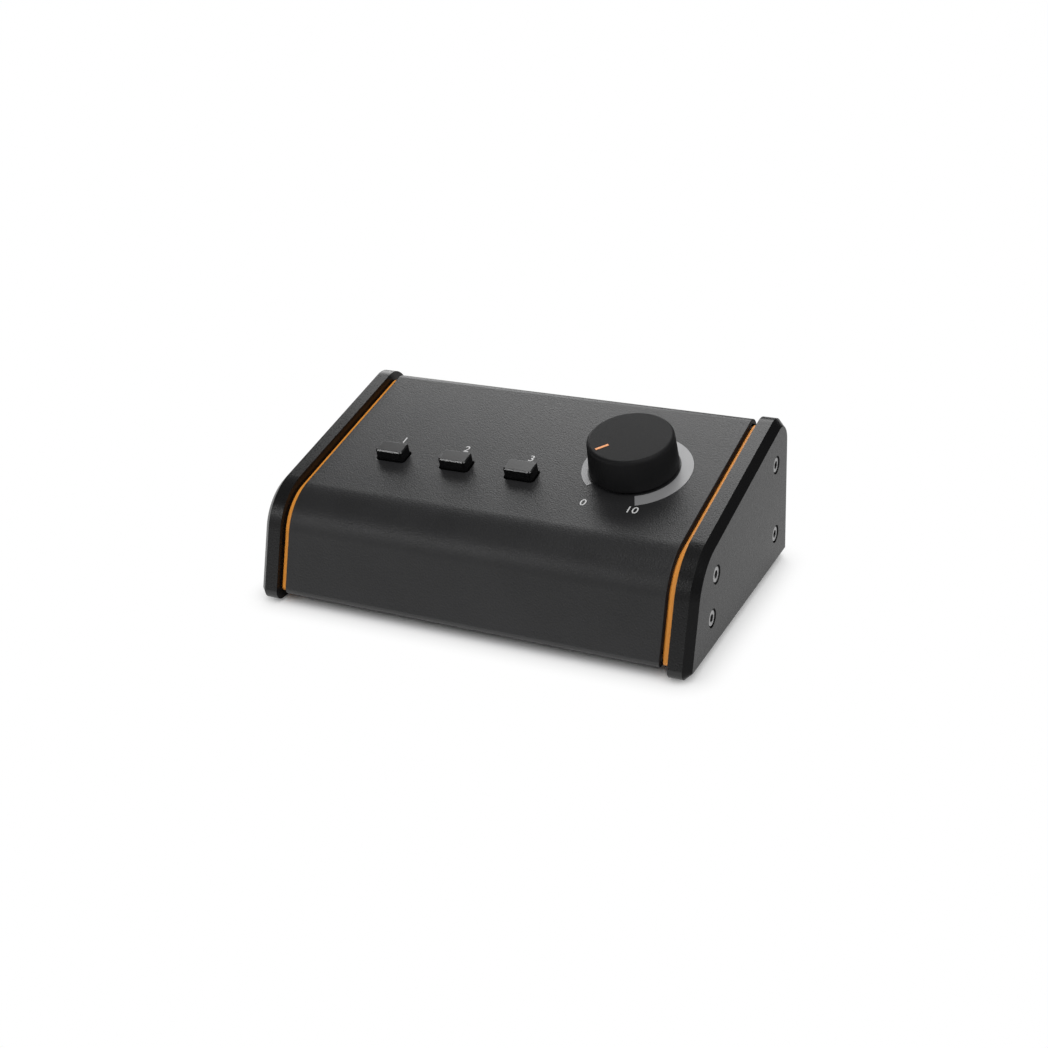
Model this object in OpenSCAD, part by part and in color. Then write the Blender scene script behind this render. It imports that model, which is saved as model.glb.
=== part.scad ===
// Desktop monitor controller: a bent sheet cover between two thick side cheeks,
// a large volume knob and three push buttons on the sloping control panel,
// audio sockets at the back. X runs to the right, Y to the back, Z up.
// The origin is on the table under the middle of the case.

/* [Overall] */
// Width over both side cheeks
overall_w = 150; // [140:1:180]
// Depth of the side cheeks
cheek_depth = 91.5; // [90:0.5:110]
// Height of the virtual corner between front and control panel above the cheek foot
brow_h = 33.7; // [32:0.1:40]
// Slope of the control panel in degrees
panel_tilt = 13; // [11:0.5:15]
// Backward lean of the front face in degrees
front_lean = 18; // [14:0.5:20]
// Gap between the cheeks and the table
foot_stand = 1; // [0.5:0.25:3]

/* [Side cheeks] */
// Thickness of a cheek
cheek_t = 7; // [5:0.5:9]
// Chamfer round the outer face of a cheek
cheek_chamfer = 2.4; // [1.2:0.2:3]
// Radius of the cheek at the bend between front and slope
bend_r = 20; // [16:1:24]
// Radius of the cheek at its front foot
toe_r = 3; // [2.4:0.2:4]
// Radius of the cheek at its rear top corner
heel_r = 9; // [6:0.5:11]

/* [Housing] */
// Thickness of the bent cover sheet
shell_t = 1.5; // [1:0.1:1.8]
// How far the cover lies inside the cheek outline
shell_inset = 1.3; // [0.8:0.1:2]
// How much nearer to the cheek outline its front face lies
front_proud = 0.6; // [0:0.1:0.7]
// Height of the cover's lower edge above the cheek foot
shell_lift = 2.6; // [2:0.2:4]
// How far the cover's back lies in front of the cheeks' rear edge
rear_inset = 3.6; // [3:0.2:5]
// Outer radius of the cover's rear bend
rear_bend_r = 5; // [4:0.5:6]
// Height of the cover's rear lip below its bend
lip_drop = 8; // [7:0.5:10]
// Depth of the cover's folded front flange
flange_d = 11; // [10:0.5:14]
// Thickness of the coloured inlay plates beside the cheeks
inlay_t = 2.8; // [2:0.2:3.6]
// How far the inlay edge lies below the cover surface
inlay_recess = 1.6; // [1:0.2:2.4]
// Thickness of the end frames
frame_t = 6; // [5:0.5:8]
// Thickness of the socket panel
back_t = 2; // [1.6:0.2:2.4]
// Thickness of the base plate
base_t = 1.5; // [1.2:0.1:2]

/* [Volume control] */
// Place of the volume knob across the panel
knob_x = 37.8; // [30:0.2:42]
// Place of the volume knob up the slope from the bend
knob_s = 41; // [38:0.5:46]
// Radius of the knob at its foot
knob_r = 14.3; // [12:0.1:14.5]
// Radius of the knob at its top
knob_top_r = 13.7; // [11.5:0.1:14.5]
// Height of the knob top above the panel
knob_top_h = 12; // [11:0.5:15]
// Gap between knob and panel
knob_gap = 0.8; // [0.5:0.1:1.2]
// Direction of the pointer and of the scale's thin end in degrees
volume_start = -133; // [-150:1:-120]
// Turn of the knob from stop to stop in degrees
volume_sweep = 295; // [270:5:300]
// Inner radius of the volume scale
scale_in_r = 14.7; // [14.6:0.1:16]
// Width of the volume scale at its thin end
scale_thin_w = 1.8; // [1:0.1:3]
// Width of the volume scale at its wide end
scale_wide_w = 4.7; // [3:0.1:5]

/* [Push buttons] */
// Place of the left button across the panel
button_x = -43.2; // [-46:0.2:-42]
// Distance from one button to the next
button_pitch = 23.5; // [21:0.1:24]
// Place of the buttons up the slope from the bend
button_s = 29.6; // [28:0.2:34]
// Width of a button cap
button_w = 10; // [8:0.2:11]
// Depth of a button cap up the slope
button_d = 5.8; // [5:0.2:8]
// Height of a button cap above the panel
button_rise = 3.7; // [3.2:0.1:5]
// Full travel of a button
button_travel = 2.5; // [1.5:0.1:2.7]
// Gap round a button cap in its opening
button_play = 0.35; // [0.2:0.05:0.4]

/* [Volume potentiometer] */
// Diameter of the shaft
shaft_d = 6; // [5:0.5:6.5]
// Diameter of the threaded bushing
bushing_d = 9; // [8.5:0.5:10]
// Height of the bushing above the panel
bushing_rise = 5; // [4.5:0.5:6]
// Diameter of the case
pot_d = 17; // [16:0.5:20]
// Height of the case below the panel
pot_h = 12; // [11.5:0.5:14]

/* [Sockets] */
// Distance of the first large socket from its end of the socket board
jack_in = 15.5; // [15:0.5:18]
// Gap between the last large socket and the small one
jack_gap = 7.5; // [5:0.5:10]
// Bore of a large socket, for a 6.35 mm plug
jack_bore_d = 6.5; // [6.4:0.05:6.6]
// Distance of the small socket from its end of the socket board
aux_in = 15; // [12:0.5:18]
// Bore of the small socket, for a 3.5 mm plug
aux_bore_d = 3.6; // [3.55:0.05:3.7]

/* [Feet] */
// Diameter of a rubber foot
foot_d = 12; // [8:0.5:14]
// Place of the feet to each side of the middle
foot_x = 48; // [40:1:50]

/* [Hidden] */

$fn = 64;
// overrun of every cut past the face it opens
cut = 0.5;
// largest turn of one straight stretch in a rounded outline
arc_step = 5;
step_slack = 0.01;
// play between parts that lie side by side, and round a screw in its thread
fit_gap = 0.1;
thread_gap = 0.05;
// radial play of a turning shaft and of a sliding plunger
running_gap = 0.03;

// screws, all of one thread
screw_r = 1.5;
hole_play = 0.2;
screw_hole_r = screw_r + hole_play;
head_r = 2.75;
head_h = 1.6;
socket_r = 1.15;
socket_depth = 1.2;
sink_r = 3;
sink_depth = 1.6;
cheek_screw_bite = 5;
cheek_head_r = 2.6;
cheek_head_drop = 0.25;
cheek_socket_r = 1.25;
base_screw_len = 8;
back_screw_len = 8;
board_screw_len = 5;

// cheek outline, and its screws as measured from the virtual front foot corner and from the rear
front_screw_low_in = 20.3;
front_screw_low_h = 12.1;
front_screw_high_in = 24.1;
front_screw_high_h = 24.8;
rear_screw_in = 13.2;
rear_screw_low_h = 12.3;
rear_screw_high_h = 36.7;
toe_reach = toe_r * ((1 + sin(front_lean)) / cos(front_lean) - 1);
foot_corner = [-cheek_depth / 2 - toe_reach, foot_stand];
brow_corner = foot_corner + [brow_h * tan(front_lean), brow_h];
cheek_rear = cheek_depth / 2;
front_rise = 90 - front_lean;
cheek_screws = [
    foot_corner + [front_screw_low_in, front_screw_low_h],
    foot_corner + [front_screw_high_in, front_screw_high_h],
    [cheek_rear - rear_screw_in, foot_stand + rear_screw_low_h],
    [cheek_rear - rear_screw_in, foot_stand + rear_screw_high_h]
];

// cover, base plate, socket panel and end frames
fold_r = 1.8;
frame_corner_r = 2.5;
sliver = 0.02;
body_half = overall_w / 2 - cheek_t - inlay_t;
body_rear = cheek_rear - rear_inset;
body_foot = foot_stand + shell_lift;
base_z = body_foot + shell_t;
base_top = base_z + base_t;
lining = shell_inset + shell_t;
socket_face = body_rear - shell_t;
socket_back = socket_face - back_t;
body_brow = side_corners(shell_inset, body_rear, body_foot, 0)[1];
flange_end = side_corners(shell_inset, body_rear, body_foot)[0][0] + flange_d;
lining_heel = side_corners(lining, socket_face, base_top)[2];
lip_fold = (rear_bend_r - shell_t) / tan((90 - panel_tilt) / 2);
socket_panel_top = lining_heel[1] - lip_fold - fit_gap;
lip_z = socket_panel_top - lip_drop;
frame_mid = body_half - frame_t / 2;
inlay_lift = 2.9;
inlay_toe_r = 1.2;
inlay_heel_r = 4;

// rubber feet
foot_edge_gap = 2;
foot_taper = 1;
front_foot_y = flange_end + foot_d / 2 + foot_edge_gap;
rear_foot_y = socket_back - foot_d / 2 - foot_edge_gap;

// places of the screws in the base and in the socket panel
flange_screw_in = 4;
base_screw_rear_in = 18.5;
base_screw_front_y = flange_end - flange_screw_in;
base_screw_rear_y = socket_back - base_screw_rear_in;
lip_screw_drop = 3.5;
lip_screw_z = socket_panel_top - lip_screw_drop;
low_back_screw_h = 14;
low_back_screw_z = base_top + low_back_screw_h;

// control board under the panel, in heights above the panel surface
board_t = 1.6;
board_top = -shell_t - pot_h;
control_board_side = 5.2;
board_half = body_half - frame_t - control_board_side;
board_front_s = 17;
board_rear_s = 57;
board_screw_in = 4;
panel_spacer_x = board_half - board_screw_in;
panel_spacer_s = [board_front_s + board_screw_in, board_rear_s - board_screw_in];
spacer_r = 2.75;

// volume potentiometer and knob
can_wall = 0.9;
can_top_t = 1.2;
track_t = 1.2;
inner_play = 0.6;
track_bore_r = shaft_d / 2 + inner_play;
wiper_r = pot_d / 2 - can_wall - inner_play;
wiper_wall = 1;
wiper_hub_r = shaft_d / 2 + wiper_wall;
wiper_hub_h = 4;
wiper_t = 0.8;
wiper_drop = 5.2;
wiper_arm_share = 0.34;
shaft_foot_gap = 0.3;
shaft_bottom = board_top + track_t + shaft_foot_gap;
shaft_flat_share = 0.25;
washer_r = 7;
washer_t = 0.5;
nut_corner_r = 6.9;
nut_h = 2.2;
knob_wall = 1.6;
knob_crown = 2.6;
knob_edge_r = 1.2;
hub_r = 5.6;
hub_gap = 0.6;
hub_foot = bushing_rise + hub_gap;
insert_r = 4.4;
shaft_end_gap = 0.2;
shaft_top = knob_top_h - knob_crown - shaft_end_gap;
pointer_w = 1.1;
pointer_in_r = 7.4;
pointer_out_r = 11.8;
pointer_depth = 0.7;
pointer_proud = 0.06;
scale_t = 0.12;
scale_steps = 60;

// push buttons and their switches
button_count = 3;
cap_corner_r = 1;
cap_bevel = 0.55;
cap_flange_w = 0.8;
cap_flange_t = 0.8;
cap_drop = 0.3;
plunger_w = 3;
plunger_grip = 3;
switch_w = 8.5;
switch_h = 8;
switch_wall = 1;
plunger_foot_w = 5;
plunger_foot_t = 1;
spring_r = 2;
spring_wall = 0.5;
cap_foot = -shell_t - cap_drop - cap_flange_t;
switch_top = board_top + switch_h;
plunger_top = cap_foot + plunger_grip;
plunger_foot_h = switch_top - switch_wall - plunger_foot_t - fit_gap;

// socket board, its sockets and the ribbon cable
socket_board_gap = 3.5;
socket_board_z = base_top + socket_board_gap;
socket_board_top = socket_board_z + board_t;
socket_board_side = 1.2;
socket_board_half = body_half - frame_t - socket_board_side;
socket_board_d = 38.15;
board_edge_gap = 0.5;
socket_board_rear = socket_back - board_edge_gap;
socket_board_front = socket_board_rear - socket_board_d;
base_spacer_x = socket_board_half - board_screw_in;
base_spacer_front_y = socket_board_front + board_screw_in;
base_spacer_rear_y = socket_board_rear - board_screw_in;
jack_w = 16;
jack_h = 12.6;
jack_l = 25.5;
jack_nose_r = 4.5;
jack_nose_out = 4.4;
jack_axis_z = socket_board_top + jack_h / 2;
jack_nut_r = 6.6;
jack_nut_h = 2.2;
jack_washer_r = 6.8;
jack_washer_t = 0.6;
aux_w = 8;
aux_h = 7.6;
aux_l = 14;
aux_nose_r = 3;
aux_nose_out = 3.2;
aux_axis_z = socket_board_top + aux_h / 2;
jack_count = 4;
jack_x = jack_in - socket_board_half;
aux_x = socket_board_half - aux_in;
jack_pitch = (aux_x - jack_gap - (jack_w + aux_w) / 2 - jack_x) / (jack_count - 1);
aux_nut_r = 4.6;
aux_nut_h = 1.6;
aux_washer_r = 4.6;
header_w = 16;
header_d = 5;
header_h = 4.4;
header_x = -20;
header_jack_gap = 2.27;
upper_header_foot = board_top - board_t - header_h;
upper_header_y = socket_back - jack_l - header_jack_gap + upper_header_foot * sin(panel_tilt);
upper_header_s = (upper_header_y - body_brow[0]) / cos(panel_tilt) - header_d / 2;
lower_header_in = 7;
lower_header_y = socket_board_front + lower_header_in;
ribbon_w = 12.7;
ribbon_t = 0.9;
ribbon_out = 9;
ribbon_turn_r = 3.5;
resistor_count = 8;
resistor_r = 1.2;
resistor_l = 6;
resistor_pitch = 5.4;
resistor_x = -37;
resistor_s = 46;
lead_r = 0.3;
lead_h = 0.6;

// geometry of the side view: points are [y, z]
function dir(a) = [cos(a), sin(a)];
function inset_point(p, a, d) = p + d * [sin(a), -cos(a)];
function meet(p, a, q, b) =
    let (u = dir(a), v = dir(b), w = q - p)
    p + u * (w[0] * v[1] - w[1] * v[0]) / (u[0] * v[1] - u[1] * v[0]);
function corner_arc(a, p, b, r) =
    r <= 0 ? [p] :
    let (
        u = (a - p) / norm(a - p),
        v = (b - p) / norm(b - p),
        half = acos(u * v) / 2,
        centre = p + (u + v) / norm(u + v) * r / sin(half),
        from = p + u * r / tan(half) - centre,
        to = p + v * r / tan(half) - centre,
        start = atan2(from[1], from[0]),
        turn = atan2(from[0] * to[1] - from[1] * to[0], from * to),
        steps = max(2, ceil(abs(turn) / arc_step - step_slack))
    )
    [for (i = [0:steps]) centre + r * dir(start + turn * i / steps)];
function rounded(pts, radii) = [
    for (i = [0:len(pts) - 1])
        for (q = corner_arc(pts[(i + len(pts) - 1) % len(pts)], pts[i],
            pts[(i + 1) % len(pts)], radii[i])) q
];
function box_outline(w, d, r) =
    rounded([[-w, -d] / 2, [w, -d] / 2, [w, d] / 2, [-w, d] / 2], [r, r, r, r]);
function side_corners(inset, back_y, foot_z, proud = front_proud) =
    let (
        f = inset_point(foot_corner, front_rise, inset - proud),
        s = inset_point(brow_corner, panel_tilt, inset)
    )
    [
        meet(f, front_rise, [0, foot_z], 0),
        meet(f, front_rise, s, panel_tilt),
        meet(s, panel_tilt, [back_y, 0], 90),
        [back_y, foot_z]
    ];
function side_outline(inset, back_y, foot_z, toe, heel, tail = 0, proud = front_proud) =
    rounded(side_corners(inset, back_y, foot_z, proud), [toe, bend_r - inset, heel, tail]);
function cheek_outline(inset) =
    side_outline(inset, cheek_rear - inset, foot_stand + inset, toe_r - inset, heel_r - inset, 0, 0);

// a side-view shape carried across the case from x0
module across(x0, w) {
    translate([x0, 0, 0]) rotate([90, 0, 90]) linear_extrude(height = w) children();
}
// a frame on the control panel: Y up the slope, Z out of the panel
module on_panel(x, s) {
    translate([x, body_brow[0], body_brow[1]]) rotate([panel_tilt, 0, 0])
        translate([0, s, 0]) children();
}
// a frame on the socket panel's outer face: Z out to the back
module on_back(x, z) {
    translate([x, socket_face, z]) rotate([-90, 0, 0]) children();
}
module both_sides() {
    children();
    mirror([1, 0, 0]) children();
}
module tube(r_out, r_in, h) {
    difference() {
        cylinder(r = r_out, h = h);
        translate([0, 0, -cut]) cylinder(r = r_in, h = h + 2 * cut);
    }
}
// the shank points down from the seat, the head lies above it
module pan_screw(len) {
    difference() {
        union() {
            translate([0, 0, -len]) cylinder(r = screw_r - thread_gap, h = len + head_h / 2);
            cylinder(r = head_r, h = head_h);
        }
        translate([0, 0, head_h - socket_depth]) cylinder(r = socket_r, h = socket_depth + cut, $fn = 6);
    }
}
module for_cheek_screws(x) {
    for (p = cheek_screws) translate([x, p[0], p[1]]) rotate([0, 90, 0]) children();
}

// Cover: front face, bend, control panel, rear bend and lip in one sheet
module top_cover() {
    color("#3d3e40") difference() {
        across(-body_half, 2 * body_half)
            polygon(side_outline(shell_inset, body_rear, body_foot, fold_r, rear_bend_r));
        across(-body_half - cut, 2 * (body_half + cut))
            polygon(side_outline(lining, socket_face, base_z, fold_r - shell_t, rear_bend_r - shell_t));
        translate([-body_half - cut, flange_end, body_foot - cut])
            cube([2 * (body_half + cut), body_rear - flange_end + cut, shell_t + 2 * cut]);
        translate([-body_half - cut, socket_face - cut, body_foot - cut])
            cube([2 * (body_half + cut), shell_t + 2 * cut, lip_z - body_foot + cut]);
        for (i = [0:button_count - 1]) on_panel(button_x + i * button_pitch, button_s)
            translate([0, 0, -shell_t - cut]) linear_extrude(height = shell_t + 2 * cut)
                polygon(box_outline(button_w + 2 * button_play, button_d + 2 * button_play,
                    cap_corner_r + button_play));
        on_panel(knob_x, knob_s) translate([0, 0, -shell_t - cut])
            cylinder(r = bushing_d / 2 + fit_gap, h = shell_t + 2 * cut);
        both_sides() {
            translate([frame_mid, base_screw_front_y, body_foot - cut])
                cylinder(r = screw_hole_r, h = shell_t + 2 * cut);
            translate([frame_mid, socket_face - cut, lip_screw_z]) rotate([-90, 0, 0])
                cylinder(r = screw_hole_r, h = shell_t + 2 * cut);
        }
    }
}

// Base plate: lies on the cover's front flange and carries the end frames
module base_plate() {
    front_y = side_corners(lining, socket_face, base_top)[0][0] + fit_gap;
    color("#2b2c2e") difference() {
        translate([-body_half, front_y, base_z]) cube([2 * body_half, socket_face - front_y, base_t]);
        both_sides() for (y = [base_screw_front_y, base_screw_rear_y])
            translate([frame_mid, y, base_z - cut]) cylinder(r = screw_hole_r, h = base_t + 2 * cut);
    }
}

// Socket panel: stands on the base plate behind the cover's lip
module socket_panel() {
    color("#2b2c2e") difference() {
        translate([-body_half, socket_back, base_top])
            cube([2 * body_half, back_t, socket_panel_top - base_top]);
        for (i = [0:jack_count - 1]) on_back(jack_x + i * jack_pitch, jack_axis_z) translate([0, 0, -back_t - cut])
            cylinder(r = jack_nose_r + fit_gap, h = back_t + 2 * cut);
        on_back(aux_x, aux_axis_z) translate([0, 0, -back_t - cut])
            cylinder(r = aux_nose_r + fit_gap, h = back_t + 2 * cut);
        both_sides() for (z = [low_back_screw_z, lip_screw_z]) on_back(frame_mid, z)
            translate([0, 0, -back_t - cut]) cylinder(r = screw_hole_r, h = back_t + 2 * cut);
    }
}

// End frame: closes the housing and takes the screws of cheek, base and back
module end_frame() {
    color("#8f9296") difference() {
        across(body_half - frame_t, frame_t)
            polygon(side_outline(lining + fit_gap, socket_back, base_top, frame_corner_r, frame_corner_r));
        for_cheek_screws(body_half - frame_t - cut) cylinder(r = screw_r, h = frame_t + 2 * cut);
        for (y = [base_screw_front_y, base_screw_rear_y]) translate([frame_mid, y, base_top - cut])
            cylinder(r = screw_r, h = base_screw_len + cut);
        for (z = [low_back_screw_z, lip_screw_z]) on_back(frame_mid, z)
            translate([0, 0, -back_t - back_screw_len]) cylinder(r = screw_r, h = back_screw_len + cut);
    }
}
module right_end_frame() { end_frame(); }
module left_end_frame() { mirror([1, 0, 0]) end_frame(); }

// Cheek: thick side plate, chamfered all round its outer face
module cheek() {
    inner_x = body_half + inlay_t;
    flat_t = cheek_t - cheek_chamfer;
    color("#343537") difference() {
        union() {
            across(inner_x, flat_t) polygon(cheek_outline(0));
            hull() {
                across(inner_x + flat_t - sliver, sliver) polygon(cheek_outline(0));
                across(inner_x + cheek_t - sliver, sliver) polygon(cheek_outline(cheek_chamfer));
            }
        }
        for_cheek_screws(inner_x - cut) cylinder(r = screw_hole_r, h = cheek_t + 2 * cut);
        for_cheek_screws(inner_x + cheek_t - sink_depth) {
            cylinder(r1 = screw_hole_r, r2 = sink_r, h = sink_depth);
            translate([0, 0, sink_depth]) cylinder(r = sink_r, h = cut);
        }
    }
}
module right_cheek() { cheek(); }
module left_cheek() { mirror([1, 0, 0]) cheek(); }

// Inlay: coloured plate whose edge shows in the groove beside the cheek
module inlay() {
    inset = shell_inset + inlay_recess;
    color("#d98324") difference() {
        across(body_half, inlay_t) polygon(side_outline(inset, body_rear - inlay_recess,
            foot_stand + inlay_lift, inlay_toe_r, inlay_heel_r, inlay_toe_r));
        for_cheek_screws(body_half - cut) cylinder(r = screw_hole_r, h = inlay_t + 2 * cut);
    }
}
module right_inlay() { inlay(); }
module left_inlay() { mirror([1, 0, 0]) inlay(); }

// Cheek screws: countersunk, through cheek and inlay into the end frame
module cheek_screws_right() {
    shank = inlay_t + cheek_t + cheek_screw_bite;
    head_top = shank - cheek_head_drop;
    color("#b9bcc0") for_cheek_screws(body_half - cheek_screw_bite) difference() {
        union() {
            cylinder(r = screw_r - thread_gap, h = head_top);
            translate([0, 0, shank - sink_depth])
                cylinder(r1 = screw_r - thread_gap, r2 = cheek_head_r, h = sink_depth - cheek_head_drop);
        }
        translate([0, 0, head_top - socket_depth])
            cylinder(r = cheek_socket_r, h = socket_depth + cut, $fn = 6);
    }
}
module right_cheek_screws() { cheek_screws_right(); }
module left_cheek_screws() { mirror([1, 0, 0]) cheek_screws_right(); }

module base_screws() {
    color("#2f3032") both_sides() {
        translate([frame_mid, base_screw_front_y, body_foot]) rotate([180, 0, 0])
            pan_screw(base_screw_len);
        translate([frame_mid, base_screw_rear_y, base_z]) rotate([180, 0, 0])
            pan_screw(base_screw_len);
    }
}
module socket_panel_screws() {
    color("#2f3032") both_sides() {
        translate([0, shell_t, 0]) on_back(frame_mid, lip_screw_z) pan_screw(back_screw_len);
        on_back(frame_mid, low_back_screw_z) pan_screw(back_screw_len);
    }
}
module rubber_feet() {
    color("#1c1c1d") both_sides() for (y = [front_foot_y, rear_foot_y])
        translate([foot_x, y, 0]) cylinder(r1 = foot_d / 2 - foot_taper, r2 = foot_d / 2, h = base_z);
}

// Knob: soft-touch cap with a crowned edge, hollow round its hub
module volume_knob() {
    side = [
        [0, knob_gap], [knob_r, knob_gap], [knob_top_r, knob_top_h], [0, knob_top_h]
    ];
    inner_r = knob_top_r - knob_wall;
    color("#222223") on_panel(knob_x, knob_s) difference() {
        rotate_extrude() polygon(concat([side[0], side[1]],
            corner_arc(side[1], side[2], side[3], knob_edge_r), [side[3]]));
        difference() {
            translate([0, 0, knob_gap - cut])
                cylinder(r = inner_r, h = knob_top_h - knob_crown - knob_gap + cut);
            translate([0, 0, hub_foot]) cylinder(r = hub_r, h = knob_top_h - hub_foot);
        }
        translate([0, 0, hub_foot - cut])
            cylinder(r = insert_r, h = knob_top_h - knob_crown - hub_foot + cut);
        pointer_block(cut);
    }
}
module pointer_block(over) {
    rotate([0, 0, volume_start])
        translate([pointer_in_r, -pointer_w / 2, knob_top_h - pointer_depth])
            cube([pointer_out_r - pointer_in_r, pointer_w, pointer_depth + over]);
}
module knob_pointer() {
    color("#f08a4b") on_panel(knob_x, knob_s) pointer_block(pointer_proud);
}
// the flat of a shaft cut on one side, as a shape to take away
module shaft_flat(r, h) {
    translate([r * (1 - 2 * shaft_flat_share), -r - cut, 0])
        cube([2 * r * shaft_flat_share + cut, 2 * (r + cut), h]);
}
module knob_insert() {
    h = knob_top_h - knob_crown - hub_foot;
    bore_r = shaft_d / 2 + thread_gap;
    color("#c9a95b") on_panel(knob_x, knob_s) translate([0, 0, hub_foot]) difference() {
        cylinder(r = insert_r, h = h);
        difference() {
            translate([0, 0, -cut]) cylinder(r = bore_r, h = h + 2 * cut);
            translate([thread_gap, 0, -2 * cut]) shaft_flat(shaft_d / 2, h + 4 * cut);
        }
    }
}
// Volume scale: printed ring that widens clockwise round the knob
module volume_scale() {
    outer = [for (i = [0:scale_steps])
        (scale_in_r + scale_thin_w + (scale_wide_w - scale_thin_w) * i / scale_steps)
            * dir(volume_start - volume_sweep * i / scale_steps)];
    inner = [for (i = [scale_steps:-1:0]) scale_in_r * dir(volume_start - volume_sweep * i / scale_steps)];
    color("#b4b5b6") on_panel(knob_x, knob_s) linear_extrude(height = scale_t)
        polygon(concat(outer, inner));
}

// Potentiometer: can, track, bushing with its nut, and the turning shaft with the wiper
module pot_case() {
    h = -shell_t - board_top;
    color("#a7abb0") on_panel(knob_x, knob_s) difference() {
        translate([0, 0, board_top]) cylinder(r = pot_d / 2, h = h);
        translate([0, 0, board_top - cut]) cylinder(r = pot_d / 2 - can_wall, h = h - can_top_t + cut);
        translate([0, 0, board_top]) cylinder(r = bushing_d / 2, h = h + cut);
    }
}
module pot_bushing() {
    foot = -shell_t - can_top_t;
    color("#c8b07a") on_panel(knob_x, knob_s) translate([0, 0, foot])
        tube(bushing_d / 2, shaft_d / 2 + running_gap, bushing_rise - foot);
}
module pot_washer() {
    color("#c9ccd0") on_panel(knob_x, knob_s) tube(washer_r, bushing_d / 2 + fit_gap, washer_t);
}
module pot_nut() {
    color("#c9ccd0") on_panel(knob_x, knob_s) translate([0, 0, washer_t]) difference() {
        cylinder(r = nut_corner_r, h = nut_h, $fn = 6);
        translate([0, 0, -cut]) cylinder(r = bushing_d / 2 + thread_gap, h = nut_h + 2 * cut);
    }
}
module pot_track() {
    color("#7a4a2a") on_panel(knob_x, knob_s) translate([0, 0, board_top])
        tube(pot_d / 2 - can_wall, track_bore_r, track_t);
}
module pot_shaft() {
    flat_foot = bushing_rise + fit_gap;
    color("#cdd0d4") on_panel(knob_x, knob_s) difference() {
        translate([0, 0, shaft_bottom]) cylinder(r = shaft_d / 2, h = shaft_top - shaft_bottom);
        translate([0, 0, flat_foot]) shaft_flat(shaft_d / 2, shaft_top - flat_foot + cut);
    }
}
module pot_wiper() {
    h0 = -shell_t - can_top_t - wiper_drop - wiper_hub_h;
    arm_w = wiper_r * wiper_arm_share;
    color("#d8c9a0") on_panel(knob_x, knob_s) difference() {
        translate([0, 0, h0]) {
            cylinder(r = wiper_hub_r, h = wiper_hub_h);
            rotate([0, 0, volume_start]) translate([0, -arm_w / 2, 0]) cube([wiper_r, arm_w, wiper_t]);
        }
        translate([0, 0, h0 - cut]) cylinder(r = shaft_d / 2 + running_gap, h = wiper_hub_h + 2 * cut);
    }
}

// Push button i: cap with a stop flange under the panel and a socket for the plunger
module button_cap(i) {
    body_h = button_rise - cap_foot;
    color("#1d1d1f") on_panel(button_x + i * button_pitch, button_s) difference() {
        union() {
            intersection() {
                translate([0, 0, cap_foot]) linear_extrude(height = body_h)
                    polygon(box_outline(button_w, button_d, cap_corner_r));
                rotate([90, 0, 0]) translate([0, 0, -button_d]) linear_extrude(height = 2 * button_d)
                    polygon(cap_side(button_w));
                rotate([90, 0, 90]) translate([0, 0, -button_w]) linear_extrude(height = 2 * button_w)
                    polygon(cap_side(button_d));
            }
            translate([0, 0, cap_foot]) linear_extrude(height = cap_flange_t)
                polygon(box_outline(button_w + 2 * cap_flange_w, button_d + 2 * cap_flange_w,
                    cap_corner_r + cap_flange_w));
        }
        translate([0, 0, cap_foot - cut]) linear_extrude(height = plunger_grip + fit_gap + cut)
            square(plunger_w + 2 * running_gap, center = true);
    }
}
function cap_side(w) = [
    [-w / 2, cap_foot - cut], [w / 2, cap_foot - cut], [w / 2, button_rise - cap_bevel],
    [w / 2 - cap_bevel, button_rise], [cap_bevel - w / 2, button_rise], [-w / 2, button_rise - cap_bevel]
];
module mono_button() { button_cap(0); }
module dim_button() { button_cap(1); }
module mute_button() { button_cap(2); }

module plunger(i) {
    color("#e6e3da") on_panel(button_x + i * button_pitch, button_s) {
        translate([0, 0, plunger_foot_h]) linear_extrude(height = plunger_top - plunger_foot_h)
            square(plunger_w, center = true);
        translate([0, 0, plunger_foot_h]) linear_extrude(height = plunger_foot_t)
            square(plunger_foot_w, center = true);
    }
}
module mono_plunger() { plunger(0); }
module dim_plunger() { plunger(1); }
module mute_plunger() { plunger(2); }

module switch_body(i) {
    inner_w = switch_w - 2 * switch_wall;
    color("#3a3f8c") on_panel(button_x + i * button_pitch, button_s)
        translate([0, 0, board_top]) difference() {
            linear_extrude(height = switch_h) square(switch_w, center = true);
            translate([0, 0, switch_wall]) linear_extrude(height = switch_h - 2 * switch_wall)
                square(inner_w, center = true);
            linear_extrude(height = switch_h + cut) square(plunger_w + 4 * running_gap, center = true);
        }
}
module mono_switch() { switch_body(0); }
module dim_switch() { switch_body(1); }
module mute_switch() { switch_body(2); }

module switch_spring(i) {
    color("#c5c8cc") on_panel(button_x + i * button_pitch, button_s)
        translate([0, 0, board_top + switch_wall])
            tube(spring_r + spring_wall / 2, spring_r - spring_wall / 2,
                plunger_foot_h - board_top - switch_wall);
}
module mono_spring() { switch_spring(0); }
module dim_spring() { switch_spring(1); }
module mute_spring() { switch_spring(2); }

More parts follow.
